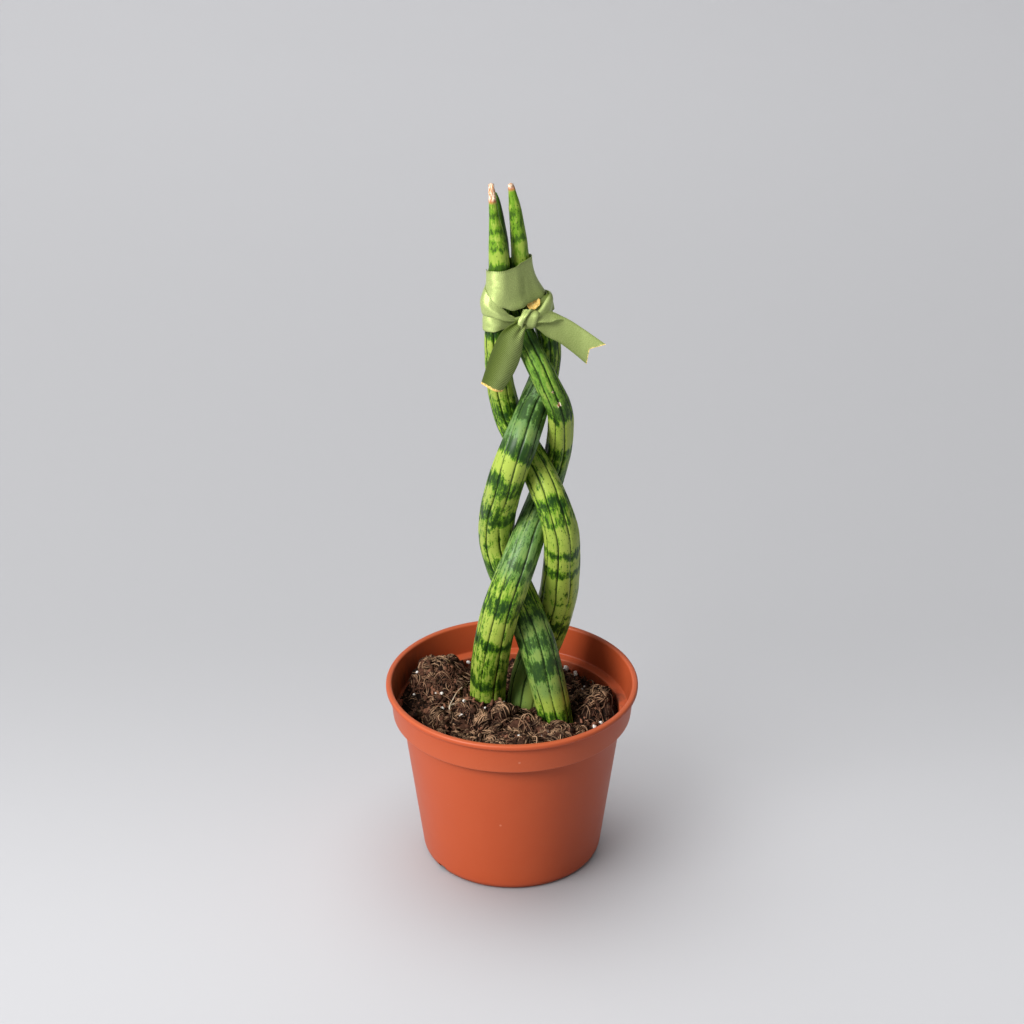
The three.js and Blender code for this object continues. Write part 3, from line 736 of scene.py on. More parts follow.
def ribbon_material(settings):
    material, w, shader = new_material("Satin ribbon", settings.satin)
    flat = w.stretch(w.add("ShaderNodeUVMap", uv_map="Weave").outputs["UV"], (1 / MM,) * 3)
    across, along, _ = w.add("ShaderNodeSeparateXYZ", {0: flat}).outputs
    turn = 2 * math.pi * MM / settings.rib
    wander = w.times(w.noise(flat, 0.5, detail=2.0), 1.5)
    ribs = w.math("SINE", w.plus(w.times(along, turn), wander))
    threads = w.math("SINE", w.times(across, turn * 1.3))
    twill = w.times(ribs, w.plus(0.75, w.times(threads, 0.25)))
    patchy = w.plus(0.45, w.times(mottling(w, flat, 4.0, 1.0), 0.55))
    ribbed = w.times(w.painted("ribbed"), patchy)
    weave = w.times(w.times(twill, 0.5), ribbed)
    grain = w.noise(w.stretch(flat, (2.6, 1.9, 1.0)), 1.0, detail=2.0, roughness=0.6)
    weave = w.plus(weave, grain)
    sheen = mottling(w, w.stretch(flat, (0.4, 1.0, 1.0)), 6.0, 0.8)
    # Painted shade in the weave's hollows, deeper where the ribs are strong.
    hollow_shade = w.times(w.minus(1.0, w.ease(weave, 0.2, 0.8)), 0.55)
    hollow_shade = w.plus(hollow_shade, w.times(w.times(hollow_shade, ribbed), 0.5))
    hollow_shade = w.clamp(hollow_shade)
    # The dull side is less shiny, and its colour is also painted dimmer as painted shade.
    matte_and_shaded = w.painted("matte_and_shaded")
    colour = w.mix(hollow_shade, settings.satin, settings.deep)
    colour = w.mix(w.times(sheen, 0.3), colour, settings.deep)
    shaded_dull_colour = toned(settings.deep, DULL_SHADE_TINT)
    shaded_dull_side = w.mix(hollow_shade, shaded_dull_colour, toned(shaded_dull_colour, 0.4))
    colour = w.mix(w.times(matte_and_shaded, 0.92), colour, shaded_dull_side)
    selvedge = w.times(w.painted("edge"), w.plus(0.5, w.times(ribs, 0.5)))
    colour = w.mix(w.times(selvedge, 0.8), colour, toned(settings.deep, 0.6))
    frayed = w.noise(w.stretch(flat, (2.2, 0.8, 1.0)), 1.0, detail=3.0)
    cut = w.ease(w.plus(w.painted("cut"), frayed), 0.95, 1.1)
    ends = w.mix(w.ease(frayed, 0.48, 0.6), toned(settings.cut, AMBER_TINT), settings.cut)
    w.put(shader.inputs["Base Color"], w.mix(cut, colour, ends))
    dull = w.plus(w.times(hollow_shade, 0.1), w.times(matte_and_shaded, 0.15))
    w.put(shader.inputs["Roughness"], w.plus(0.55, dull))
    shine = w.times(w.minus(1.0, cut), 0.42)
    shine = w.times(shine, w.minus(1.0, w.times(matte_and_shaded, 0.85)))
    w.put(shader.inputs["Metallic"], shine)
    shader.inputs["Sheen Weight"].default_value = 0.03
    shader.inputs["Sheen Roughness"].default_value = 0.4
    shader.inputs["Anisotropic"].default_value = 0.72
    shader.inputs["Specular IOR Level"].default_value = 0.32
    w.put(shader.inputs["Coat Weight"], w.times(0.24, w.minus(1.0, w.times(matte_and_shaded, 0.95))))
    shader.inputs["Coat Roughness"].default_value = 0.38
    threads_run = w.add("ShaderNodeTangent", direction_type="UV_MAP", uv_map="Weave")
    w.put(shader.inputs["Tangent"], threads_run.outputs[0])
    bump(w, shader, weave, 0.5, 0.08)
    return material


def stage_material(settings):
    material, w, shader = new_material("Studio paper", settings.floor)
    place = w.place()
    depth = w.add("ShaderNodeSeparateXYZ", {0: place}).outputs["Y"]
    # Painted shade behind the plant and painted light farther back.
    behind = w.times(w.ease(depth, *FLOOR_SHADE[:2]), FLOOR_SHADE[2])
    beyond = w.times(w.ease(depth, *FLOOR_LIFT[:2]), FLOOR_LIFT[2])
    dim = w.minus(behind, beyond)
    dim = w.plus(dim, w.times(mottling(w, place, 300.0, 0.4), 0.012))
    w.put(shader.inputs["Base Color"], w.mix(dim, settings.floor, (0.0, 0.0, 0.0)))
    shader.inputs["Roughness"].default_value = 0.95
    return material


# ------------------------------------------------------------------ mesh helpers


def strip_faces(rows, columns, closed):
    """Quads of a grid of points, rows by columns, closed round its columns or not."""
    row = np.arange(rows - 1)[:, None] * columns
    column = np.arange(columns if closed else columns - 1)[None, :]
    after = (column + 1) % columns
    corners = (row + column, row + after, row + columns + after, row + columns + column)
    spread = [np.broadcast_to(c, (rows - 1, column.size)) for c in corners]
    return np.stack(spread, -1).reshape(-1, 4)


def pointed_faces(rows, columns):
    """Faces of a closed grid of points and of fans from its ends to two points listed after it."""
    faces = strip_faces(rows, columns, True).tolist()
    low, high, last = rows * columns, rows * columns + 1, (rows - 1) * columns
    for j in range(columns):
        after = (j + 1) % columns
        faces.append([low, after, j])
        faces.append([high, last + j, last + after])
    return faces


def flat_ended_faces(rows, columns):
    """Faces of a closed grid of points, with one flat face over each end."""
    last = (rows - 1) * columns
    ends = [list(range(columns))[::-1], list(range(last, last + columns))]
    return strip_faces(rows, columns, True).tolist() + ends


def unit(vectors):
    """The vectors, each of length 1."""
    return vectors / np.linalg.norm(vectors, axis=-1, keepdims=True)


def plant_collection():
    """The collection of the plant's pieces, which the key light is kept to."""
    found = bpy.data.collections.get("Plant")
    if found is None:
        found = bpy.data.collections.new("Plant")
        bpy.context.scene.collection.children.link(found)
    return found


def new_piece(name, points, faces, material, slot, replaced=()):
    """A smooth mesh object, from points in millimetres, that rides on the plant's one body."""
    mesh = bpy.data.meshes.new(name)
    mesh.from_pydata((np.asarray(points, float) * MM).tolist(), [], [list(f) for f in faces])
    mesh.polygons.foreach_set("use_smooth", np.ones(len(mesh.polygons), bool))
    mesh.materials.append(material)
    mesh.validate()
    piece = bpy.data.objects.new(name, mesh)
    plant_collection().objects.link(piece)
    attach(piece, ROOT)
    if replaced:
        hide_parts(*replaced)
    return piece


def paint(piece, name, values):
    """Stores one number for each point of the mesh, for its material to read."""
    layer = piece.data.attributes.new(name, "FLOAT", "POINT")
    layer.data.foreach_set("value", np.asarray(values, np.float32))


def paint_vector(piece, name, vectors):
    """Stores one vector for each point of the mesh."""
    layer = piece.data.attributes.new(name, "FLOAT_VECTOR", "POINT")
    layer.data.foreach_set("vector", np.asarray(vectors, np.float32).ravel())


def mark_sharp(piece, degrees):
    """Keeps edges crisp where two faces meet at more than an angle."""
    work = bmesh.new()
    work.from_mesh(piece.data)
    limit = math.radians(degrees)
    for edge in work.edges:
        edge.smooth = len(edge.link_faces) < 2 or edge.calc_face_angle(0.0) < limit
    work.to_mesh(piece.data)
    work.free()


def smooth_path(points, shares):
    """Places and directions at shares from 0 to 1 along a smooth path through the points."""
    points = np.asarray(points, float)
    spans = len(points) - 1
    padded = np.vstack([2 * points[0] - points[1], points, 2 * points[-1] - points[-2]])
    at = np.clip(np.asarray(shares, float), 0, 1) * spans
    index = np.minimum(at.astype(int), spans - 1)
    f = (at - index)[:, None]
    p0, p1, p2, p3 = (padded[index + k] for k in range(4))
    bend = 2 * p0 - 5 * p1 + 4 * p2 - p3
    twist = 3 * p1 - p0 - 3 * p2 + p3
    place = 0.5 * (2 * p1 + (p2 - p0) * f + bend * f**2 + twist * f**3)
    run = 0.5 * ((p2 - p0) + 2 * bend * f + 3 * twist * f**2)
    return place, unit(run)


def ripple(points, size, detail=3):
    """Smooth random numbers of about -1 to 1 at the points, that vary over a size in mm."""
    return np.array([
        noise.fractal(Vector(p) / size, 1.0, 2.0, detail) for p in np.asarray(points, float)
    ])


def smoothstep(value, low, high):
    share = np.clip((np.asarray(value, float) - low) / (high - low), 0, 1)
    return share * share * (3 - 2 * share)


# ------------------------------------------------------------------ pot


def rounded_profile(corners, steps=5):
    """An outline of (radius, height) with each (radius, height, round) corner softened."""
    out = []
    for i, (r, z, soft) in enumerate(corners):
        here = np.array([r, z], float)
        if soft == 0:
            out.append(here)
            continue
        before = np.array(corners[i - 1][:2], float) - here
        after = np.array(corners[i + 1][:2], float) - here
        back = before * min(0.48, soft / np.linalg.norm(before))
        ahead = after * min(0.48, soft / np.linalg.norm(after))
        for k in range(steps + 1):
            s = k / steps
            out.append(here + back * (1 - s) ** 2 + ahead * s**2)
    return np.array(out)


def pot_outline(wall):
    """Radius, height and rounding of the corners from the axis below the floor to that above."""
    p = POT
    body_in = p["body_top_radius"] - wall
    heel_in = p["body_bottom_radius"] - wall
    lip_in = RIM_RADIUS - p["lip_width"] - 1.1
    lip_low = RIM_TOP - p["lip_height"]
    foot_in = p["foot_radius"] - p["foot_width"]
    return [
        (0, p["foot_height"], 0),
        (foot_in - 0.6, p["foot_height"], 0.5),
        (foot_in, 0, 0.35),
        (p["foot_radius"], 0, 0.5),
        (p["body_bottom_radius"] - 0.5, 1.9, 1.6),
        (p["body_bottom_radius"], 5.3, 1.8),
        (p["body_top_radius"], p["band_bottom"] - 1.2, 0.9),
        (p["body_top_radius"] + 0.9, p["band_bottom"], 0.4),
        (p["band_bottom_radius"] - 0.1, p["band_bottom"], 0.8),
        (p["band_top_radius"], lip_low, 0.5),
        (RIM_RADIUS, lip_low + 0.1, 0.9),
        (RIM_RADIUS, RIM_TOP, 1.2),
        (lip_in, RIM_TOP, 1.1),
        (p["band_bottom_radius"] - wall, p["band_bottom"] + 1.1, 0.8),
        (body_in + 0.3, p["ledge_height"] + 1.0, 0.7),
        (body_in, p["ledge_height"] - 1.2, 0.7),
        (heel_in, p["heel_height"], 1.4),
        (heel_in - 1.2, p["floor_top"], 1.2),
        (0, p["floor_top"], 0),
    ]


def lathe(outline, segments):
    """Points and faces of an outline, open at the axis, turned about it."""
    turns = np.arange(segments) / segments * 2 * math.pi
    ring = np.array(outline)[1:-1]
    x = ring[:, :1] * np.sin(turns)
    y = -ring[:, :1] * np.cos(turns)
    z = np.broadcast_to(ring[:, 1:], x.shape)
    points = np.stack([x, y, z], -1).reshape(-1, 3)
    points = np.vstack([points, [0, 0, outline[0][1]], [0, 0, outline[-1][1]]])
    return points, pointed_faces(len(ring), segments)


def cutter(name, points, faces):
    """An object that is cut out of a piece later."""
    mesh = bpy.data.meshes.new(name)
    mesh.from_pydata((np.asarray(points) * MM).tolist(), [], faces)
    made = bpy.data.objects.new(name, mesh)
    bpy.context.scene.collection.objects.link(made)
    return made


def block_points(radius_in, radius_out, half_width, low, high, angle):
    """Corners and faces of a block that points outwards at an angle from the front."""
    corners = []
    for z in (low, high):
        for r, s in ((radius_in, -1), (radius_out, -1), (radius_out, 1), (radius_in, 1)):
            x, y = s * half_width, -r
            corners.append((
                x * math.cos(angle) - y * math.sin(angle),
                x * math.sin(angle) + y * math.cos(angle),
                z,
            ))
    faces = [[0, 3, 2, 1], [4, 5, 6, 7]]
    faces += [[k, (k + 1) % 4, (k + 1) % 4 + 4, k + 4] for k in range(4)]
    return corners, faces


def rod_points(centre, radius, low, high, sides):
    """Corners and faces of an upright rod."""
    turns = [2 * math.pi * k / sides for k in range(sides)]
    rings = [
        (centre[0] + radius * math.cos(a), centre[1] + radius * math.sin(a), z)
        for z in (low, high) for a in turns
    ]
    faces = [list(range(sides))[::-1], list(range(sides, 2 * sides))]
    faces += [[k, (k + 1) % sides, (k + 1) % sides + sides, k + sides] for k in range(sides)]
    return rings, faces


def cut_away(piece, cutters):
    """Cuts the cutters out of a piece for good, and removes them."""
    for tool in cutters:
        change = piece.modifiers.new(tool.name, "BOOLEAN")
        change.operation = "DIFFERENCE"
        change.solver = "MANIFOLD"
        change.object = tool
    depsgraph = bpy.context.evaluated_depsgraph_get()
    cut = bpy.data.meshes.new_from_object(piece.evaluated_get(depsgraph))
    piece.modifiers.clear()
    piece.data = cut
    for tool in cutters:
        bpy.data.objects.remove(tool)


def make_pot(settings):
    wall = settings.wall / MM
    points, faces = lathe(rounded_profile(pot_outline(wall)), POT_SIDES)
    material = pot_material(settings)
    pot = new_piece("pot_shell", points, faces, material, "pot_plastic", ["pot"])
    cutters = []
    for k in range(POT["hole_count"]):
        angle = (k + 0.5) / POT["hole_count"] * 2 * math.pi
        centre = (POT["hole_ring"] * math.sin(angle), -POT["hole_ring"] * math.cos(angle))
        rod = rod_points(centre, settings.hole / MM, *HOLE_SPAN, HOLE_SIDES)
        cutters.append(cutter(f"hole_{k}", *rod))
    for k in range(POT["notch_count"]):
        angle = math.radians(POT["notch_first"] + k * 360 / POT["notch_count"])
        block = block_points(
            POT["foot_radius"] - 5, POT["foot_radius"] + 3, POT["notch_width"] / 2, -1,
            POT["notch_height"], angle,
        )
        cutters.append(cutter(f"notch_{k}", *block))
    cut_away(pot, cutters)
    for polygon in pot.data.polygons:
        polygon.use_smooth = True
    mark_sharp(pot, 38)
    finish_pot(pot)


def finish_pot(pot):
    """Stores wear, a painted ledge highlight, where it is soiled, and painted shade inside."""
    at = np.array([v.co for v in pot.data.vertices]) / MM
    ring = np.hypot(at[:, 0], at[:, 1])
    high = smoothstep(at[:, 2], RIM_TOP - 1.2, RIM_TOP - 0.1)
    band_edge = np.exp(-((at[:, 2] - POT["band_bottom"] - 0.5) / 0.7) ** 2) * (ring > 56)
    # The lines along the inner ledge are a painted highlight; the rim and band edge are wear.
    ledge = np.exp(-((at[:, 2] - POT["ledge_height"] - 0.9) / 0.6) ** 2) * (ring < 56)
    paint(pot, "rubbed_and_highlit", np.maximum.reduce([high, 0.6 * band_edge, 0.9 * ledge]))
    skin = np.interp(
        at[:, 2], [5.3, POT["band_bottom"] - 0.5, POT["band_bottom"], RIM_TOP],
        [POT["body_bottom_radius"], POT["body_top_radius"], POT["band_bottom_radius"],
         POT["band_top_radius"]],
    )
    inside = (ring < skin - 0.5) & (at[:, 2] > POT["floor_top"])
    level = soil_height(at[:, 0], at[:, 1])
    inside_mask = np.where(inside, 1 - smoothstep(at[:, 2], level - 1, level + 6), 0)
    # Painted shade on the inner wall, fading out below the rim and kept off the ledge's highlight.
    below_rim = 1 - smoothstep(at[:, 2], RIM_TOP - 7, RIM_TOP - 1)
    paint(pot, "inner", np.where(inside, below_rim * (1 - 0.8 * ledge), 0))
    under = (ring < POT["foot_radius"]) & (at[:, 2] < POT["floor_top"])
    paint(pot, "soiled", np.where(under, 0.25, inside_mask))


# ------------------------------------------------------------------ soil


def number_stream(seed):
    """The same run of numbers from 0 to 1 that scatters the frame's clumps."""
    state = seed
    while True:
        state = (state * 16807) % 2147483647
        yield state / 2147483647


def soil_clumps():
    """Small seeded heaps: x, y, reach and height of each."""
    numbers = number_stream(CLUMP_SEED)
    clumps = []
    for _ in range(CLUMP_COUNT):
        angle = 2 * math.pi * next(numbers)
        ring = 50 * math.sqrt(next(numbers))
        reach = 4.5 + 5 * next(numbers)
        tall = 1 + 3 * next(numbers)
        clumps.append((ring * math.cos(angle), ring * math.sin(angle), reach, tall))
    return clumps


CLUMPS = np.array(soil_clumps())
HEAPS = np.array(MOUNDS + BANKS)


def heap_height(heaps, x, y):
    """Height of the tallest of the heaps at places x, y."""
    away = (x[..., None] - heaps[:, 0]) ** 2 + (y[..., None] - heaps[:, 1]) ** 2
    return (heaps[:, 3] * np.maximum(1 - away / heaps[:, 2] ** 2, 0)).max(-1)


def soil_height(x, y):
    """Height of the soil with its heaps and clumps."""
    x, y = np.asarray(x, float), np.asarray(y, float)
    return SOIL_LEVEL + heap_height(HEAPS, x, y) + heap_height(CLUMPS, x, y)


def spill_edge(angle):
    """Radius the soil reaches at an angle, further out where it spills over the pot's ledge."""
    x, y = SOIL_EDGE * np.cos(angle), SOIL_EDGE * np.sin(angle)
    spill = smoothstep(soil_height(x, y) - SOIL_EDGE_DROP, POT["ledge_height"] + 0.6,
                       POT["ledge_height"] + 2.0)
    return SOIL_EDGE + (SOIL_LEDGE_EDGE - SOIL_EDGE) * spill


def body_edge(angle):
    """Radius of the soil's body at an angle: the spill's, evened out along the rim."""
    return sum(spill_edge(angle + math.radians(turn)) for turn in SPILL_TURNS) / len(SPILL_TURNS)


def leaf_clearance(x, y, z):
    """Distance in mm from places to the skin of the nearest leaf, less than 0 inside one."""
    nearest = np.full(np.shape(x), 1e3)
    for leaf in LEAF_COURSES.values():
        low = leaf["place"][:, 2]
        cx = np.interp(z, low, leaf["place"][:, 0])
        cy = np.interp(z, low, leaf["place"][:, 1])
        radius = np.interp(z, low, leaf["radius"])
        nearest = np.minimum(nearest, np.hypot(x - cx, y - cy) - radius)
    return nearest


def rough_soil(x, y):
    """Height of the soil with its lumps and crumbs."""
    flat = np.stack([x, y, np.zeros_like(x)], -1)
    lumps = ripple(flat + 40, 6.5) * 2.0 - 0.9
    grit = ripple(flat + 90, 2.2) * 0.9
    return soil_height(x, y) + lumps + grit


def make_soil_body(material):
    angles = np.arange(SOIL_SIDES) / SOIL_SIDES * 2 * math.pi
    shares = 1 - np.arange(SOIL_RINGS) / SOIL_RINGS
    edge = body_edge(angles)
    radius = shares[:, None] * edge[None, :]
    x, y = radius * np.cos(angles), radius * np.sin(angles)
    z = rough_soil(x.ravel(), y.ravel()).reshape(x.shape)
    z -= SOIL_EDGE_DROP * smoothstep(shares, 0.94, 1.0)[:, None]
    clear = leaf_clearance(x, y, z)
    z = np.where(clear < 0.25, z - 9, z)
    on_ledge = radius > SOIL_EDGE + 0.6
    z = np.where(on_ledge, np.maximum(z, POT["ledge_height"] + LEDGE_COVER), z)
    top = np.stack([x, y, z], -1)
    skirts = []
    for depth, pull, below_ledge in SOIL_SKIRTS:
        skirt = top[0].copy()
        shrink = np.minimum(1, (SOIL_EDGE - pull) / edge)
        skirt[:, :2] *= shrink[:, None]
        skirt[:, 2] = np.minimum(skirt[:, 2] - depth, POT["ledge_height"] - below_ledge)
        skirts.append(skirt)
    grid = np.concatenate([np.stack(skirts), top])
    points = np.vstack([grid.reshape(-1, 3), [[0, 0, SOIL_LEVEL - 40], [0, 0, z[-1].mean()]]])
    faces = pointed_faces(len(grid), SOIL_SIDES)
    soil = new_piece("soil_mix", points, faces, material, "soil", ["soil"])
    # Painted shade: the surface gets a lower tone in its dips below the heaps.
    flat = soil_height(points[:, 0], points[:, 1])
    paint(soil, "tone", smoothstep(points[:, 2] - flat, -1.6, 1.2) * 0.5)


def scattered(count, numbers, margin):
    """Random places on the soil, clear of the wall and of the leaves."""
    places = np.zeros((0, 3))
    while len(places) < count:
        angle = 2 * math.pi * numbers.random(2 * count)
        ring = (spill_edge(angle) - margin) * np.sqrt(numbers.random(2 * count))
        x, y = ring * np.cos(angle), ring * np.sin(angle)
        z = soil_height(x, y)
        clear = leaf_clearance(x, y, z) > margin
        places = np.vstack([places, np.stack([x, y, z], -1)[clear]])
    return places[:count]


def ball(detail):
    """Points and faces of a unit ball with even triangles."""
    work = bmesh.new()
    bmesh.ops.create_icosphere(work, subdivisions=detail, radius=1.0)
    points = np.array([v.co for v in work.verts])
    faces = np.array([[v.index for v in f.verts] for f in work.faces])
    work.free()
    return points, faces


def turned(points, numbers):
    """The points turned at random."""
    q = numbers.normal(size=4)
    w, x, y, z = q / np.linalg.norm(q)
    turn = np.array([
        [1 - 2 * (y * y + z * z), 2 * (x * y - z * w), 2 * (x * z + y * w)],
        [2 * (x * y + z * w), 1 - 2 * (x * x + z * z), 2 * (y * z - x * w)],
        [2 * (x * z - y * w), 2 * (y * z + x * w), 1 - 2 * (x * x + y * y)],
    ])
    return points @ turn.T


def near_wall(x, y):
    """From 0 to 1 in the last few mm of the soil before the wall."""
    edge = spill_edge(np.arctan2(y, x))
    return smoothstep(np.hypot(x, y) - edge, -7.0, -1.0)


def grains(name, places, sizes, flatness, material, numbers, detail=1, sink=0.25):
    """One piece of many small lumps that lie on the soil."""
    base, base_faces = ball(detail)
    points, faces, tones = [], [], []
    for k, (place, size) in enumerate(zip(places, sizes)):
        dents = 1 + 0.4 * ripple(base * 2.2 + k * 3.1, 1.0, 3)
        lump = base * dents[:, None]
        lump[:, 2] *= flatness * (0.7 + 0.6 * numbers.random())
        lump[:, 0] *= 0.7 + 0.7 * numbers.random()
        lump = turned(lump, numbers) * size
        faces.append(base_faces + k * len(base))
        points.append(lump + place + [0, 0, size * (0.5 - sink)])
        tones.append(np.full(len(base), numbers.random()))
    points = np.concatenate(points)
    piece = new_piece(name, points, np.concatenate(faces), material, "soil")
    # Painted shade: crumbs near the wall get a lower tone.
    wall_shade = 0.45 * near_wall(points[:, 0], points[:, 1])
    paint(piece, "tone", np.concatenate(tones) - wall_shade)
    return piece


def tube(line, radii, sides):
    """Points and faces of a thin closed tube along a line."""
    run = unit(np.gradient(line, axis=0))
    side = unit(np.cross(run, [0.31, 0.23, 0.92]))
    up = np.cross(run, side)
    turns = np.arange(sides) / sides * 2 * math.pi
    rings = line[:, None] + radii[:, None, None] * (
        np.cos(turns)[None, :, None] * side[:, None] + np.sin(turns)[None, :, None] * up[:, None]
    )
    return rings.reshape(-1, 3), flat_ended_faces(len(line), sides)


def joined(parts):
    """Points and faces of several meshes in one."""
    points, faces, start = [], [], 0
    for part_points, part_faces in parts:
        points.append(part_points)
        faces += [[i + start for i in f] for f in part_faces]
        start += len(part_points)
    return np.concatenate(points), faces


def strands(name, lines, sides, material):
    """One piece of many strands, each a line, its radius at its start and a tone."""
    parts, tones = [], []
    for line, radius, tone in lines:
        taper = radius * (1 - 0.7 * np.abs(np.linspace(-0.8, 1, len(line))) ** 3)
        parts.append(tube(line, taper, sides))
        # Painted shade: strands get a lower tone where they sink into the soil and near the wall.
        above = line[:, 2] - soil_height(line[:, 0], line[:, 1])
        low = 0.75 * (1 - smoothstep(above, -0.8, 2.4))
        tones.append(np.repeat(tone - low - 0.45 * near_wall(line[:, 0], line[:, 1]), sides))
    piece = new_piece(name, *joined(parts), material, "soil")
    paint(piece, "tone", np.concatenate(tones))
    return piece


def clear_of_pot_and_leaves(line, margin):
    """Whether a strand keeps its distance from the wall and the leaves."""
    ring = np.hypot(line[:, 0], line[:, 1])
    edge = spill_edge(np.arctan2(line[:, 1], line[:, 0]))
    clear = leaf_clearance(line[:, 0], line[:, 1], line[:, 2])
    return not ((ring > edge - 0.6 - margin).any() or (clear < 0.3 + margin).any())


def loose_lines(count, sizes, curl, arch, thickness, numbers, around=None):
    """Curved strands that lie on the soil, all over it or about a (centre, reach)."""
    lines = []
    starts = scattered(count * 4, numbers, 1.5)
    for x, y, _ in starts:
        if len(lines) == count:
            break
        if around is not None:
            (cx, cy), reach = around
            angle, ring = 2 * math.pi * numbers.random(), reach * math.sqrt(numbers.random())
            x, y = cx + ring * math.cos(angle), cy + ring * math.sin(angle)
        length = sizes[0] + (sizes[1] - sizes[0]) * numbers.random() ** 1.5
        steps = max(6, int(length / 0.9))
        heading = 2 * math.pi * numbers.random()
        bend = curl * numbers.uniform(-1, 1)
        rise = arch * numbers.random() ** 1.5 * min(1.0, length / 8)
        line = []
        for k in range(steps + 1):
            heading += bend / steps + numbers.uniform(-0.18, 0.18)
            x += length / steps * math.cos(heading)
            y += length / steps * math.sin(heading)
            line.append((x, y, 0.1 + rise * math.sin(math.pi * k / steps)))
        line = np.array(line)
        line[:, 2] += smoothed(soil_height(line[:, 0], line[:, 1]), 2)
        if clear_of_pot_and_leaves(line, thickness):
            lines.append((line, thickness * numbers.uniform(0.5, 1.3), numbers.random() ** 1.6))
    return lines


def wound_lines(centre, radius, count, numbers):
    """Strands that wind over a clod, all roughly the same way."""
    pole = turned(np.array([[0, 0, 1.0]]), numbers)[0]
    side = np.cross(pole, [0.3, 0.5, 0.8])
    side /= np.linalg.norm(side)
    other = np.cross(pole, side)
    top = math.atan2(other[2], side[2])
    lines = []
    shade = numbers.uniform(-0.25, 0.2)
    for k in range(count):
        lean = numbers.uniform(-0.85, 0.85)
        middle = top + numbers.uniform(-0.9, 0.9)
        half = numbers.uniform(0.45, 1.25)
        a = np.linspace(middle - half, middle + half, 9)
        away = radius * (1.0 + 0.14 * numbers.random() + 0.07 * np.sin(3 * a + k))
        ring = away * math.sqrt(1 - lean * lean)
        drift = radius * (lean + 0.25 * numbers.uniform(-1, 1) * (a - middle))
        line = centre + drift[:, None] * pole
        line = line + ring[:, None] * (np.cos(a)[:, None] * side + np.sin(a)[:, None] * other)
        if clear_of_pot_and_leaves(line, 0.2):
            tone = shade + numbers.random() ** 1.6
            lines.append((line, radius * numbers.uniform(0.04, 0.095), tone))
    return lines


def make_soil(settings):
    numbers = np.random.default_rng(5)
    brown, tan = settings.brown, settings.fibre
    peat = soil_material("Damp peat", settings.dark, toned(brown, 0.5), 0.85)
    bark = soil_material("Bark", toned(brown, 0.15), toned(brown, 1.4), 0.65)
    coir = soil_material("Coir", toned(brown, 0.09), toned(tan, 0.95), 0.55)
    straw = soil_material("Root fibre", toned(brown, 0.6), tan, 0.6)
    make_soil_body(peat)

    places = scattered(settings.crumbs, numbers, 1.2)
    sizes = 0.45 + 1.5 * numbers.random(settings.crumbs) ** 3
    half = settings.crumbs // 2
    grains("soil_crumbs_dark", places[:half], sizes[:half], 0.8, peat, numbers)
    grains("soil_crumbs_bark", places[half:], sizes[half:], 0.45, bark, numbers)

    clods = scattered(settings.clods, numbers, 3.2)
    clod_sizes = 1.9 + 2.6 * numbers.random(len(clods)) ** 1.4
    clods[:, 2] -= 0.3 * clod_sizes
    wound, kept = [], []
    for k, (place, size) in enumerate(zip(clods, clod_sizes)):
        wanted = int(4 + 2.7 * size)
        lines = wound_lines(place, size, wanted, numbers)
        lines += wound_lines(place, size * 1.03, wanted, numbers)
        if len(lines) > 1.4 * wanted:
            wound += lines
            kept.append(k)
    grains("soil_clods", clods[kept], clod_sizes[kept] * 0.93, 0.9, peat, numbers, 3, 0.5)
    strands("soil_coir_low", wound[::2], 4, coir)
    strands("soil_coir_high", wound[1::2], 4, coir)

    curls = loose_lines(settings.fibres // 3, (4, 12), 3.4, 3.4, 0.3, numbers)
    strands("soil_curls", curls, 5, coir)
    fine = loose_lines(settings.fibres, (4, 16), 2.8, 2.2, 0.17, numbers)
    strands("soil_fibres", fine, 4, straw)
    mat = loose_lines(settings.fibres // 2, (4, 11), 3.0, 1.6, 0.2, numbers, ROOT_MAT)
    strands("soil_root_mat", mat, 4, straw)

    white = perlite_material(settings)
    spots = np.array([(x, y, float(soil_height(x, y)) + 0.9) for x, y, _ in PERLITE_SPOTS])
    extra = scattered(TINY_PERLITE, numbers, 1.5) + [0, 0, 0.5]
    tiny = 0.25 + 0.4 * numbers.random(TINY_PERLITE)
    grain_sizes = [s for _, _, s in PERLITE_SPOTS] + list(tiny)
    grains("soil_perlite", np.vstack([spots, extra]), grain_sizes, 0.9, white, numbers, 2, 0.2)
    make_pale_roots()


def make_pale_roots():
    """Two thicker roots that arch out of the soil, the nearer one pale."""
    pale = soil_material("Pale root", *PALE_ROOT_COLOURS, 0.55)
    shares = np.linspace(0, 1, 36)
    lines = []
    for route, radius, rise, tone in PALE_ROOTS:
        line, _ = smooth_path(np.array([(x, y, 0.0) for x, y in route]), shares)
        ground = smoothed(soil_height(line[:, 0], line[:, 1]), 6)
        line[:, 2] = ground + 0.5 + rise * np.sin(math.pi * shares)
        lines.append((line, radius, tone))
    strands("soil_pale_roots", lines, 9, pale)


# ------------------------------------------------------------------ leaves


def leaf_course(leaf, count):
    """Centre, direction and radius at even shares along a leaf."""
    points = [(x, y, z) for (x, y, _), z in zip(leaf["route"], LEAF_HEIGHTS)]
    points[-1] = (*points[-1][:2], points[-1][2] - leaf["tip_drop"])
    shares = np.linspace(0, 1, count)
    place, run = smooth_path(points, shares)
    radii = [r for _, _, r in leaf["route"]]
    radius = np.interp(shares, np.linspace(0, 1, len(radii)), radii)
    return {"place": place, "run": run, "radius": radius}


LEAF_COURSES = {name: leaf_course(leaf, COURSE_POINTS) for name, leaf in LEAVES.items()}


def along_mm(place):
    """How far along a line each of its points is."""
    steps = np.linalg.norm(np.diff(place, axis=0), axis=1)
    return np.concatenate([[0], np.cumsum(steps)])


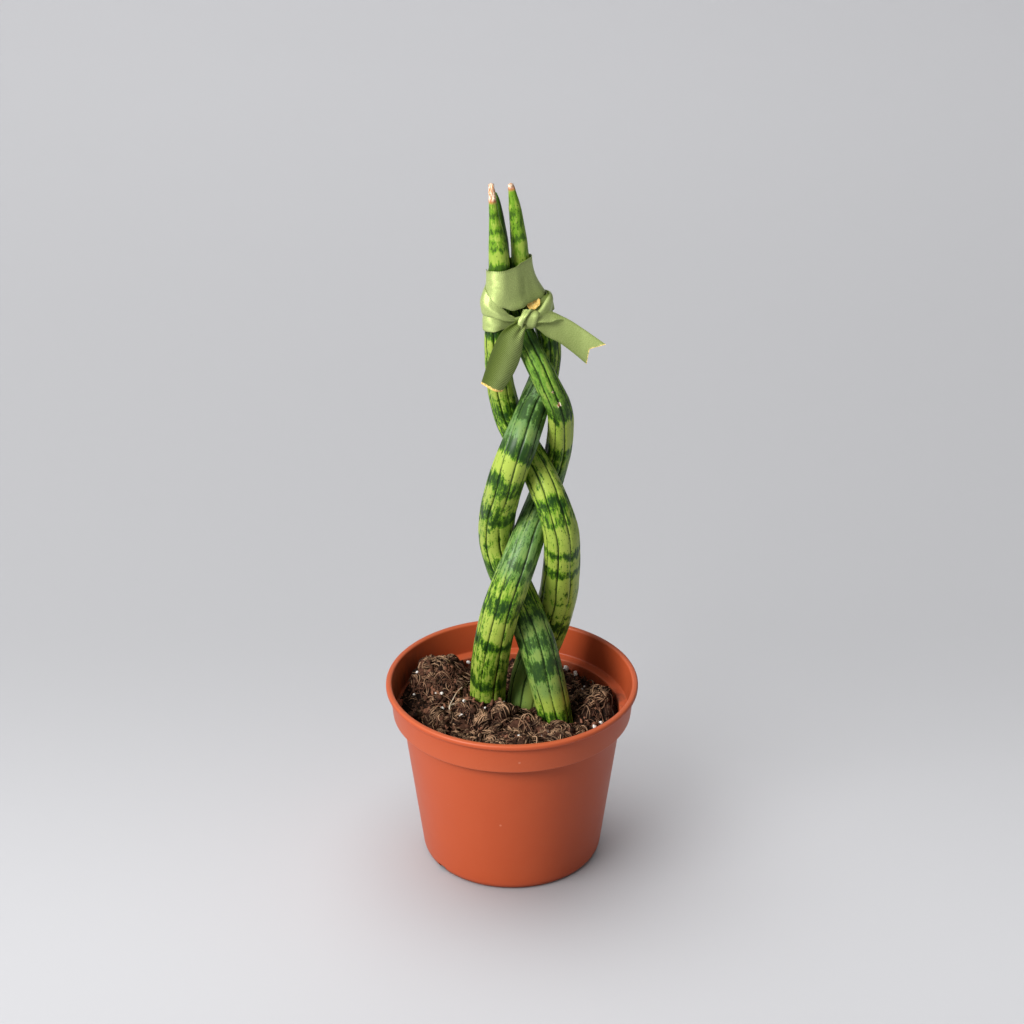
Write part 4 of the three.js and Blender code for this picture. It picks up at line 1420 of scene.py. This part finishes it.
def make_leaf(name, leaf, settings, material):
    course = leaf_course(leaf, LEAF_RINGS)
    place, run = course["place"], course["run"]
    radius = smoothed(course["radius"], 5)
    side = unit(np.array([1.0, 0, 0]) - run * run[:, :1])
    back = np.cross(run, side)
    along = along_mm(place)

    offsets = np.array(PANEL_STEPS)
    angles = np.concatenate([leaf["groove_phase"] + 45 * k + offsets for k in range(GROOVES)])
    from_groove = np.tile(np.minimum(offsets, 45 - offsets), GROOVES)
    wander = np.array([
        [noise.noise(Vector((s / 26, k * 3.7, leaf["seed"]))) for s in along]
        for k in range(GROOVES + 1)
    ])
    wander[GROOVES] = wander[0]
    share = np.tile(offsets / 45, GROOVES)
    panel = np.repeat(np.arange(GROOVES), len(offsets))
    shift = wander[panel].T * (1 - share) + wander[panel + 1].T * share
    theta = np.radians(angles[None, :] + 7 * shift)

    fade = 1 - 0.9 * smoothstep(place[:, 2], 286, 306)[:, None]
    strengths = np.random.default_rng(leaf["seed"] + 1).uniform(0.35, 1.15, GROOVES + 1)
    strengths[GROOVES] = strengths[0]
    nearest = np.where(share < 0.5, panel, panel + 1)
    depth_change = (strengths[nearest] + 0.9 * wander[nearest].T).clip(0.15, 1.3) * fade
    arc = np.radians(from_groove)[None, :] * radius[:, None]
    width = settings.width / MM
    groove = np.exp(-(arc / width) ** 2)
    belly = 0.02 * np.sin(math.pi * share)[None, :] * radius[:, None] * fade
    depth = np.minimum(settings.depth / MM, 0.11 * radius)[:, None] * depth_change
    dry = smoothstep(place[:, 2], leaf["dry_from"] - 0.2, leaf["dry_from"] + 0.8)[:, None]
    reach = radius[:, None] * 0.988 + belly - groove * depth * (1 - 0.6 * dry)

    out = np.cos(theta)[..., None] * side[:, None] + np.sin(theta)[..., None] * back[:, None]
    skin = place[:, None] + out * reach[..., None]
    bumps = ripple(skin.reshape(-1, 3) + leaf["seed"] * 9, 7.0).reshape(reach.shape) * 0.1
    crumple = ripple(skin.reshape(-1, 3) * [1, 1, 0.6], 1.1).reshape(reach.shape) * 0.34 * dry
    skin += out * (bumps + crumple)[..., None]

    foot = place[0] + [0, 0, -2]
    tip = place[-1] + run[-1] * 0.7
    points = np.vstack([skin.reshape(-1, 3), foot, tip])
    faces = pointed_faces(*reach.shape)
    piece = new_piece(f"{name}_skin", points, faces, material, "leaf", [name])
    dark_line = groove * np.clip(depth_change * 1.2, 0, 1) * (1 - dry)
    paint_leaf(piece, leaf, place, along, theta, radius, dark_line, dry, panel, share)


def smoothed(values, reach):
    """The values averaged over their neighbours, with the ends kept."""
    padded = np.concatenate([np.full(reach, values[0]), values, np.full(reach, values[-1])])
    out = np.convolve(padded, np.ones(2 * reach + 1) / (2 * reach + 1), "valid")
    out[-reach:] = values[-reach:]
    return out


def paint_leaf(piece, leaf, place, along, theta, radius, groove, dry, panel, share):
    """Stores the leaf's own coordinates and where it is banded, grooved, scarred and dry."""
    numbers = np.random.default_rng(leaf["seed"])
    jump = numbers.uniform(-1.5, 1.5, GROOVES)[panel]
    swing = numbers.uniform(0.8, 1.1, GROOVES)[panel]
    cool = numbers.uniform(0.0, 0.6, GROOVES)[panel]
    heights, levels = zip(*leaf["shade"])
    fine = np.arange(40, 345, 0.25)
    levels = smoothed(np.interp(fine, heights, levels), 4)
    height = place[:, 2][:, None]
    sway = np.array([
        [noise.noise(Vector((3.1 * math.cos(a), 3.1 * math.sin(a), h / 9 + leaf["seed"])))
         for a in row] for row, h in zip(theta[:, ::3], place[:, 2])
    ])
    sway = np.repeat(sway, 3, axis=1)[:, :theta.shape[1]]
    reach = np.minimum(1.0, radius[:, None] / 7)
    crown = -0.9 * np.sin(math.pi * share)[None, :]
    shade = np.interp(height + (jump[None, :] + 2.4 * sway + crown) * reach, fine, levels)
    shade = np.clip(0.5 + (shade - 0.5) * swing[None, :], 0, 1) * (1 - dry)
    ring = np.maximum(radius, 2.5)[:, None]
    local = np.stack([
        np.cos(theta) * ring, np.sin(theta) * ring,
        np.broadcast_to(along[:, None], theta.shape) + leaf["seed"] * 40.0,
    ], -1)
    scar = np.zeros(theta.shape)
    for level, degrees, size in leaf["scars"]:
        turn = (np.degrees(theta) - degrees + 180) % 360 - 180
        away = np.hypot(np.radians(turn) * radius[:, None], height - level)
        scar = np.maximum(scar, 1 - away / size * 0.7)

    def with_ends(grid):
        flat = np.broadcast_to(grid, theta.shape).reshape(-1)
        return np.concatenate([flat, [flat[0], flat[-1]]])

    ends = [[0, 0, along[0] + leaf["seed"] * 40.0], [0, 0, along[-1] + leaf["seed"] * 40.0]]
    paint_vector(piece, "leaf_place", np.vstack([local.reshape(-1, 3), ends]))
    paint(piece, "shade", with_ends(shade))
    paint(piece, "groove", with_ends(groove))
    paint(piece, "cool", with_ends(cool[None, :]))
    paint(piece, "dry", with_ends(dry))
    # Stretches with plainer markings, and their dust with painted sheen.
    calm, dusty = [], []
    for low, high, plain, dust in leaf["calm"]:
        inside = smoothstep(height, low - 4, low + 4) * (1 - smoothstep(height, high - 4, high + 4))
        calm.append(plain * inside)
        dusty.append(dust * inside)
    paint(piece, "calm", with_ends(np.maximum.reduce(calm)))
    paint(piece, "dusty", with_ends(np.maximum.reduce(dusty)))
    paint(piece, "rim", with_ends(np.exp(-((height - leaf["dry_from"] - 0.5) / 0.9) ** 2)))
    paint(piece, "scar", with_ends(np.clip(scar, 0, 1) * 0.9))


def make_leaves(settings):
    material = leaf_material(settings)
    for name, leaf in LEAVES.items():
        make_leaf(name, leaf, settings, material)


# ------------------------------------------------------------------ ribbon


def edge_values(edges, degrees):
    """The listed edge quantities at angles, eased between the listed angles."""
    stops = np.array(edges + [(180, *edges[0][1:])], float)
    degrees = (np.asarray(degrees, float) + 180) % 360 - 180
    index = np.clip(np.searchsorted(stops[:, 0], degrees, side="right"), 1, len(stops) - 1)
    before, after = stops[index - 1], stops[index]
    share = smoothstep((degrees - before[:, 0]) / (after[:, 0] - before[:, 0]), 0, 1)[:, None]
    return (before * (1 - share) + after * share)[:, 1:]


def bundle_at(z):
    """Centre, radius and lean of each leaf at heights z, and the middle of the bundle."""
    leaves = []
    for leaf in LEAF_COURSES.values():
        place, run = leaf["place"], leaf["run"]
        table = np.column_stack([
            place[:, :2], leaf["radius"], run[:, 0] / run[:, 2], run[:, 1] / run[:, 2],
        ])
        leaves.append(np.column_stack([
            np.interp(z, place[:, 2], table[:, k]) for k in range(table.shape[1])
        ]))
    leaves = np.array(leaves)
    return leaves, leaves[:, :, :2].mean(axis=0)


def bundle_points(z, degrees, offset):
    """Points of a band pulled tight round the leaves, at heights and angles, pushed outwards."""
    z = np.asarray(z, float)
    angle = np.radians(degrees)
    leaves, middle = bundle_at(z)
    nearest = np.full(z.shape, np.inf)
    for turn in np.radians(np.arange(-80, 81, 4)):
        nx, ny = np.sin(angle + turn), -np.cos(angle + turn)
        reach = np.full(z.shape, -np.inf)
        for leaf in leaves:
            centre = (leaf[:, 0] - middle[:, 0]) * nx + (leaf[:, 1] - middle[:, 1]) * ny
            lean = leaf[:, 3] * nx + leaf[:, 4] * ny
            reach = np.maximum(reach, centre + leaf[:, 2] * np.hypot(1, lean))
        nearest = np.minimum(nearest, reach / np.cos(turn))
    far = nearest + offset
    return np.stack([middle[:, 0] + far * np.sin(angle), middle[:, 1] - far * np.cos(angle), z], -1)


def turn_surface(edges, first, last, base, lift, columns=200, rows=15):
    """Points, along then across, of a turn of ribbon from one angle to another."""
    degrees = np.linspace(first, last, columns)
    low, high, bulge, low_off, high_off = edge_values(edges, degrees).T
    share = np.linspace(0, 1, rows)[None, :]
    z = low[:, None] + (high - low)[:, None] * share
    offset = base + lift * np.linspace(0, 1, columns)[:, None]
    offset = offset + bulge[:, None] * np.sin(math.pi * share)
    offset = offset + low_off[:, None] * (1 - smoothstep(share, 0, 0.3))
    offset = offset + high_off[:, None] * smoothstep(share, 0.75, 1)
    turned_to = np.repeat(degrees, rows)
    flat = bundle_points(z.ravel(), turned_to, offset.ravel())
    return flat.reshape(columns, rows, 3)


def strip_surface(pairs, cup, columns=110, rows=21, notch=0.0, pleat=0.0, wave=0.0, peak=0.5):
    """Points, along then across, of a cupped strip between two edge curves.

    Pleats run from its start and fade along it, waves lie across it, and peak is how far across
    the crown of the cup is.
    """
    shares = np.linspace(0, 1, columns)
    first, run_a = smooth_path([a for a, _ in pairs], shares)
    second, run_b = smooth_path([b for _, b in pairs], shares)
    run = unit(run_a + run_b)
    front = unit(np.cross(run, second - first))
    across = np.linspace(0, 1, rows)[None, :, None]
    grow = np.minimum(1, 2 * shares)[:, None, None]
    surface = first[:, None] * (1 - across) + second[:, None] * across
    crown = np.sin(math.pi * across ** (math.log(0.5) / math.log(peak)))
    gathered = 1 - smoothstep(shares, 0.1, 0.55)[:, None, None]
    folds = np.cos(2 * math.pi * 2.3 * across + 0.6) * gathered
    ripples = np.sin(9 * shares[:, None, None] + 2 * across) * np.minimum(1, 3 * grow)
    push = cup * grow * crown + pleat * folds + wave * ripples
    surface = surface + front[:, None] * push
    middle = 1 - np.abs(2 * across - 1)
    near_end = smoothstep(shares, 0.8, 1)[:, None, None]
    return surface - run[:, None] * notch * middle * near_end


def cloth_shell(surface, thickness):
    """Points and faces of a closed thin shell about a surface of ribbon."""
    along = np.gradient(surface, axis=0)
    across = np.gradient(surface, axis=1)
    normal = np.cross(across, along)
    normal /= np.maximum(np.linalg.norm(normal, axis=2, keepdims=True), 1e-9)
    columns, rows = surface.shape[:2]
    front = surface + normal * thickness / 2
    rear = surface - normal * thickness / 2
    loop = np.concatenate([front, rear[:, ::-1]], axis=1)
    faces = [list(f) for f in strip_faces(columns, 2 * rows, True)]
    last = (columns - 1) * 2 * rows
    for k in range(rows - 1):
        mate = 2 * rows - 1 - k
        faces.append([k, mate, mate - 1, k + 1][::-1])
        faces.append([last + k, last + mate, last + mate - 1, last + k + 1])
    return loop.reshape(-1, 3), [f[::-1] for f in faces]


def ribbon_sheet(surface, settings, start=0.0, cut=None, ribbed=(0.1, 0.1), matte_and_shaded=(0, 0)):
    """One stretch of ribbon: its shell with its own weave coordinates and painted edges.

    At its first edge and at its second, ribbed says how strong its ribs are, and the last pair
    how dull it is and how much painted shade dims it.
    """
    columns, rows = surface.shape[:2]
    steps = np.linalg.norm(np.diff(surface, axis=0), axis=2).mean(axis=1)
    along = start + np.concatenate([[0], np.cumsum(steps)])
    widths = np.linalg.norm(np.diff(surface, axis=1), axis=2)
    across = np.concatenate([np.zeros((columns, 1)), np.cumsum(widths, axis=1)], axis=1)
    rows_along = np.linalg.norm(np.diff(surface, axis=0), axis=2)
    lengths = start + np.concatenate([np.zeros((1, rows)), np.cumsum(rows_along, axis=0)])
    weave = np.stack([across, lengths], -1)
    share = np.linspace(0, 1, rows)[None, :]
    edge = np.broadcast_to(1 - smoothstep(np.minimum(share, 1 - share), 0.0, 0.09), across.shape)
    to_end = np.zeros(columns)
    if cut == "end":
        to_end = 1 - (along[-1] - along) / 2.2
    if cut == "frayed":
        to_end = 0.62 - (along[-1] - along) / 3.0
    if cut == "all":
        to_end = np.ones(columns)
    ends = np.broadcast_to(np.clip(to_end, 0, 1)[:, None], across.shape)
    points, faces = cloth_shell(surface, settings.thickness / MM)

    def both_sides(grid):
        return np.concatenate([grid, grid[:, ::-1]], axis=1).reshape(columns * 2 * rows, -1)

    def eased_across(first, second):
        return both_sides(np.broadcast_to(first + (second - first) * share, across.shape)).ravel()

    return {
        "points": points, "faces": faces, "weave": both_sides(weave),
        "edge": both_sides(edge).ravel(), "cut": both_sides(ends).ravel(),
        "ribbed": eased_across(*ribbed), "matte_and_shaded": eased_across(*matte_and_shaded),
    }


def knot_sheet():
    """The barrel of ribbon pulled tight over the crossing, with its pleats."""
    rows, turns = 34, 64
    u = np.linspace(-1, 1, rows)
    around = np.arange(turns) / turns * 2 * math.pi
    crease = 0.35 * np.exp(-((u + 0.55) / 0.1) ** 2) + 0.12 * np.exp(-((u - 0.3) / 0.2) ** 2)
    pleats = -crease[:, None] * (0.8 + 0.2 * np.sin(around * 2))
    waist = 1 - 0.13 * np.cos(around) ** 2
    shrink = np.sqrt(np.maximum(1 - np.abs(u) ** 4 * 0.5, 0))[:, None]
    hx, hy, hz = KNOT_HALF
    x = hx * u[:, None] * waist[None, :] + 0.8 * np.sin(around)[None, :]
    y = (hy * shrink + pleats) * -np.cos(around)[None, :]
    z = (hz * shrink + pleats) * np.sin(around)[None, :]
    points = np.stack([np.broadcast_to(x, y.shape), y, z], -1) + KNOT_CENTRE
    flat = points.reshape(-1, 3)
    weave = np.stack([
        np.broadcast_to(hx * u[:, None], y.shape), np.broadcast_to(around[None, :] * 4.2, y.shape),
    ], -1).reshape(-1, 2)
    zero = np.zeros(len(flat))
    # The knot is a little dull and painted a little dimmer, as painted shade.
    return {"points": flat, "faces": flat_ended_faces(rows, turns), "weave": weave, "edge": zero,
            "cut": zero, "ribbed": zero + 0.3, "matte_and_shaded": zero + 0.3}


def ribbon_piece(name, sheets, material, replaced):
    """One piece of several stretches of ribbon."""
    points, faces = joined([(s["points"], s["faces"]) for s in sheets])
    piece = new_piece(name, points, faces, material, "ribbon", [replaced])
    weave = np.concatenate([s["weave"] for s in sheets]) * MM
    layer = piece.data.uv_layers.new(name="Weave")
    corner = np.zeros(len(piece.data.loops), np.int32)
    piece.data.loops.foreach_get("vertex_index", corner)
    layer.data.foreach_set("uv", weave[corner].astype(np.float32).ravel())
    for name in ("edge", "cut", "ribbed", "matte_and_shaded"):
        paint(piece, name, np.concatenate([s[name] for s in sheets]))
    mark_sharp(piece, 60)
    return piece


def make_ribbons(settings):
    material = ribbon_material(settings)
    wrap = turn_surface(WRAP_EDGES, -205, 205, 0.5, 0.5)
    wrap_end = turn_surface(WRAP_END_EDGES, 41, 77, 0.7, 0, 30, 9)
    sheets = [ribbon_sheet(wrap, settings), ribbon_sheet(wrap_end, settings, 90.0, "all")]
    wrap_piece = ribbon_piece("ribbon_wrap_satin", sheets, material, "ribbon_wrap")

    lower = turn_surface(LOWER_TURN_EDGES, -180, 180, 0.3, 0.25)
    upper = turn_surface(UPPER_TURN_EDGES, -180, 180, 0.95, 0.3)
    left = strip_surface(LEFT_TAIL, 1.9, pleat=0.45, peak=0.62)
    right = strip_surface(RIGHT_TAIL, 1.1, notch=3.5, wave=0.25)
    fold = strip_surface(RIGHT_FOLD, 0.8, 60, 15)
    gather = strip_surface(LEFT_FOLD, 0.6, 50, 15, pleat=0.22)
    loop = strip_surface(LOOP, 1.1, 70, 17, peak=0.35)
    sheets = [
        ribbon_sheet(lower, settings), ribbon_sheet(upper, settings, 80.0),
        # The left tail shows the dull side, painted dimmer as painted shade, most at its first
        # edge.
        ribbon_sheet(left, settings, 170.0, "end", (0.3, 1.9), (1.15, 0.45)),
        ribbon_sheet(right, settings, 210.0, "frayed", (0.02, 0.12), (0.2, 0.35)),
        ribbon_sheet(fold, settings, 205.0), ribbon_sheet(gather, settings, 165.0),
        ribbon_sheet(loop, settings, 160.0), knot_sheet(),
    ]
    tie = ribbon_piece("ribbon_tie_satin", sheets, material, "ribbon_tie")


# ------------------------------------------------------------------ stage


def make_stage(settings):
    """A pale floor that sweeps up behind, soft lights, a faint surround and the camera."""
    material = stage_material(settings)
    half, depth_front, depth_back, rise, bend, steps = 2600, 2600, 1500, 2600, 900, 24
    profile = [(-depth_front, 0.0), (depth_back, 0.0)]
    for k in range(1, steps + 1):
        a = math.pi / 2 * k / steps
        profile.append((depth_back + bend * math.sin(a), bend * (1 - math.cos(a))))
    profile.append((depth_back + bend, rise))
    points = [(x, y, z) for y, z in profile for x in (-half, half)]
    faces = [[2 * k, 2 * k + 1, 2 * k + 3, 2 * k + 2] for k in range(len(profile) - 1)]
    mesh = bpy.data.meshes.new("studio_sweep")
    mesh.from_pydata((np.array(points) * MM).tolist(), [], faces)
    mesh.polygons.foreach_set("use_smooth", np.ones(len(mesh.polygons), bool))
    mesh.materials.append(material)
    sweep = bpy.data.objects.new("studio_sweep", mesh)
    stage_only = bpy.data.collections.new("Backdrop")
    bpy.context.scene.collection.children.link(stage_only)
    stage_only.objects.link(sweep)

    key = add_light("key_light", *KEY_LIGHT, settings.key)
    key.light_linking.receiver_collection = plant_collection()
    add_light("floor_key", *FLOOR_LIGHT, settings.floor_key)
    overhead = add_light("overhead", *OVERHEAD_LIGHT, settings.overhead)
    overhead.light_linking.receiver_collection = stage_only

    world = bpy.data.worlds.new("Studio surround")
    world.use_nodes = True
    surround = world.node_tree.nodes["Background"]
    surround.inputs["Color"].default_value = SURROUND_COLOUR
    surround.inputs["Strength"].default_value = settings.fill
    bpy.context.scene.world = world
    bpy.context.scene.view_settings.view_transform = "Standard"

    lens = bpy.data.cameras.new("camera")
    lens.lens = CAMERA_LENS
    lens.sensor_width = SENSOR_WIDTH
    lens.clip_start = 0.01
    lens.clip_end = 50
    camera = bpy.data.objects.new("camera", lens)
    camera.location = CAMERA_PLACE
    camera.rotation_euler = (math.radians(90 - CAMERA_PITCH), 0, 0)
    bpy.context.scene.collection.objects.link(camera)
    bpy.context.scene.camera = camera


def add_light(name, place, target, size, power):
    """A round soft light, aimed at a target."""
    data = bpy.data.lights.new(name, "AREA")
    data.shape = "DISK"
    data.size = size
    data.energy = power
    light = bpy.data.objects.new(name, data)
    light.location = place
    aim = Vector(target) - Vector(place)
    light.rotation_euler = aim.to_track_quat("-Z", "Y").to_euler()
    bpy.context.scene.collection.objects.link(light)
    return light


# ------------------------------------------------------------------ operators and panel


class PLANT_OT_pot(bpy.types.Operator):
    """Make the nursery pot"""

    bl_idname = "plant.pot"
    bl_label = "Pot"

    def execute(self, context):
        make_pot(context.scene.plant_pot)
        return {"FINISHED"}


class PLANT_OT_soil(bpy.types.Operator):
    """Make the potting mix with its fibres and perlite"""

    bl_idname = "plant.soil"
    bl_label = "Soil"

    def execute(self, context):
        make_soil(context.scene.plant_soil)
        return {"FINISHED"}


class PLANT_OT_leaves(bpy.types.Operator):
    """Make the braided leaves"""

    bl_idname = "plant.leaves"
    bl_label = "Leaves"

    def execute(self, context):
        make_leaves(context.scene.plant_leaf)
        return {"FINISHED"}


class PLANT_OT_ribbons(bpy.types.Operator):
    """Make the satin ribbons"""

    bl_idname = "plant.ribbons"
    bl_label = "Ribbons"

    def execute(self, context):
        make_ribbons(context.scene.plant_ribbon)
        return {"FINISHED"}


class PLANT_OT_stage(bpy.types.Operator):
    """Make the floor, the lights and the camera"""

    bl_idname = "plant.stage"
    bl_label = "Stage"

    def execute(self, context):
        make_stage(context.scene.plant_stage)
        return {"FINISHED"}


class PLANT_PT_panel(bpy.types.Panel):
    """Lists the plant's pieces and their settings"""

    bl_label = "Braided Snake Plant"
    bl_idname = "PLANT_PT_panel"
    bl_space_type = "VIEW_3D"
    bl_region_type = "UI"
    bl_category = "Plant"

    def draw(self, context):
        for operator, holder in PIECES:
            box = self.layout.box()
            box.operator(operator.bl_idname)
            settings = getattr(context.scene, holder)
            for name in settings.__annotations__:
                box.prop(settings, name)


PIECES = [
    (PLANT_OT_stage, "plant_stage"),
    (PLANT_OT_pot, "plant_pot"),
    (PLANT_OT_soil, "plant_soil"),
    (PLANT_OT_leaves, "plant_leaf"),
    (PLANT_OT_ribbons, "plant_ribbon"),
]
SETTINGS = {
    "plant_stage": StageSettings,
    "plant_pot": PotSettings,
    "plant_soil": SoilSettings,
    "plant_leaf": LeafSettings,
    "plant_ribbon": RibbonSettings,
}


def register():
    for group in SETTINGS.values():
        bpy.utils.register_class(group)
    for operator, _ in PIECES:
        bpy.utils.register_class(operator)
    bpy.utils.register_class(PLANT_PT_panel)
    for holder, group in SETTINGS.items():
        setattr(bpy.types.Scene, holder, bpy.props.PointerProperty(type=group))


def unregister():
    for holder in SETTINGS:
        delattr(bpy.types.Scene, holder)
    bpy.utils.unregister_class(PLANT_PT_panel)
    for operator, _ in PIECES:
        bpy.utils.unregister_class(operator)
    for group in SETTINGS.values():
        bpy.utils.unregister_class(group)


def main():
    register()
    bpy.ops.plant.stage()
    bpy.ops.plant.pot()
    bpy.ops.plant.soil()
    bpy.ops.plant.leaves()
    bpy.ops.plant.ribbons()
    bpy.context.view_layer.update()


if __name__ == "__main__":
    main()
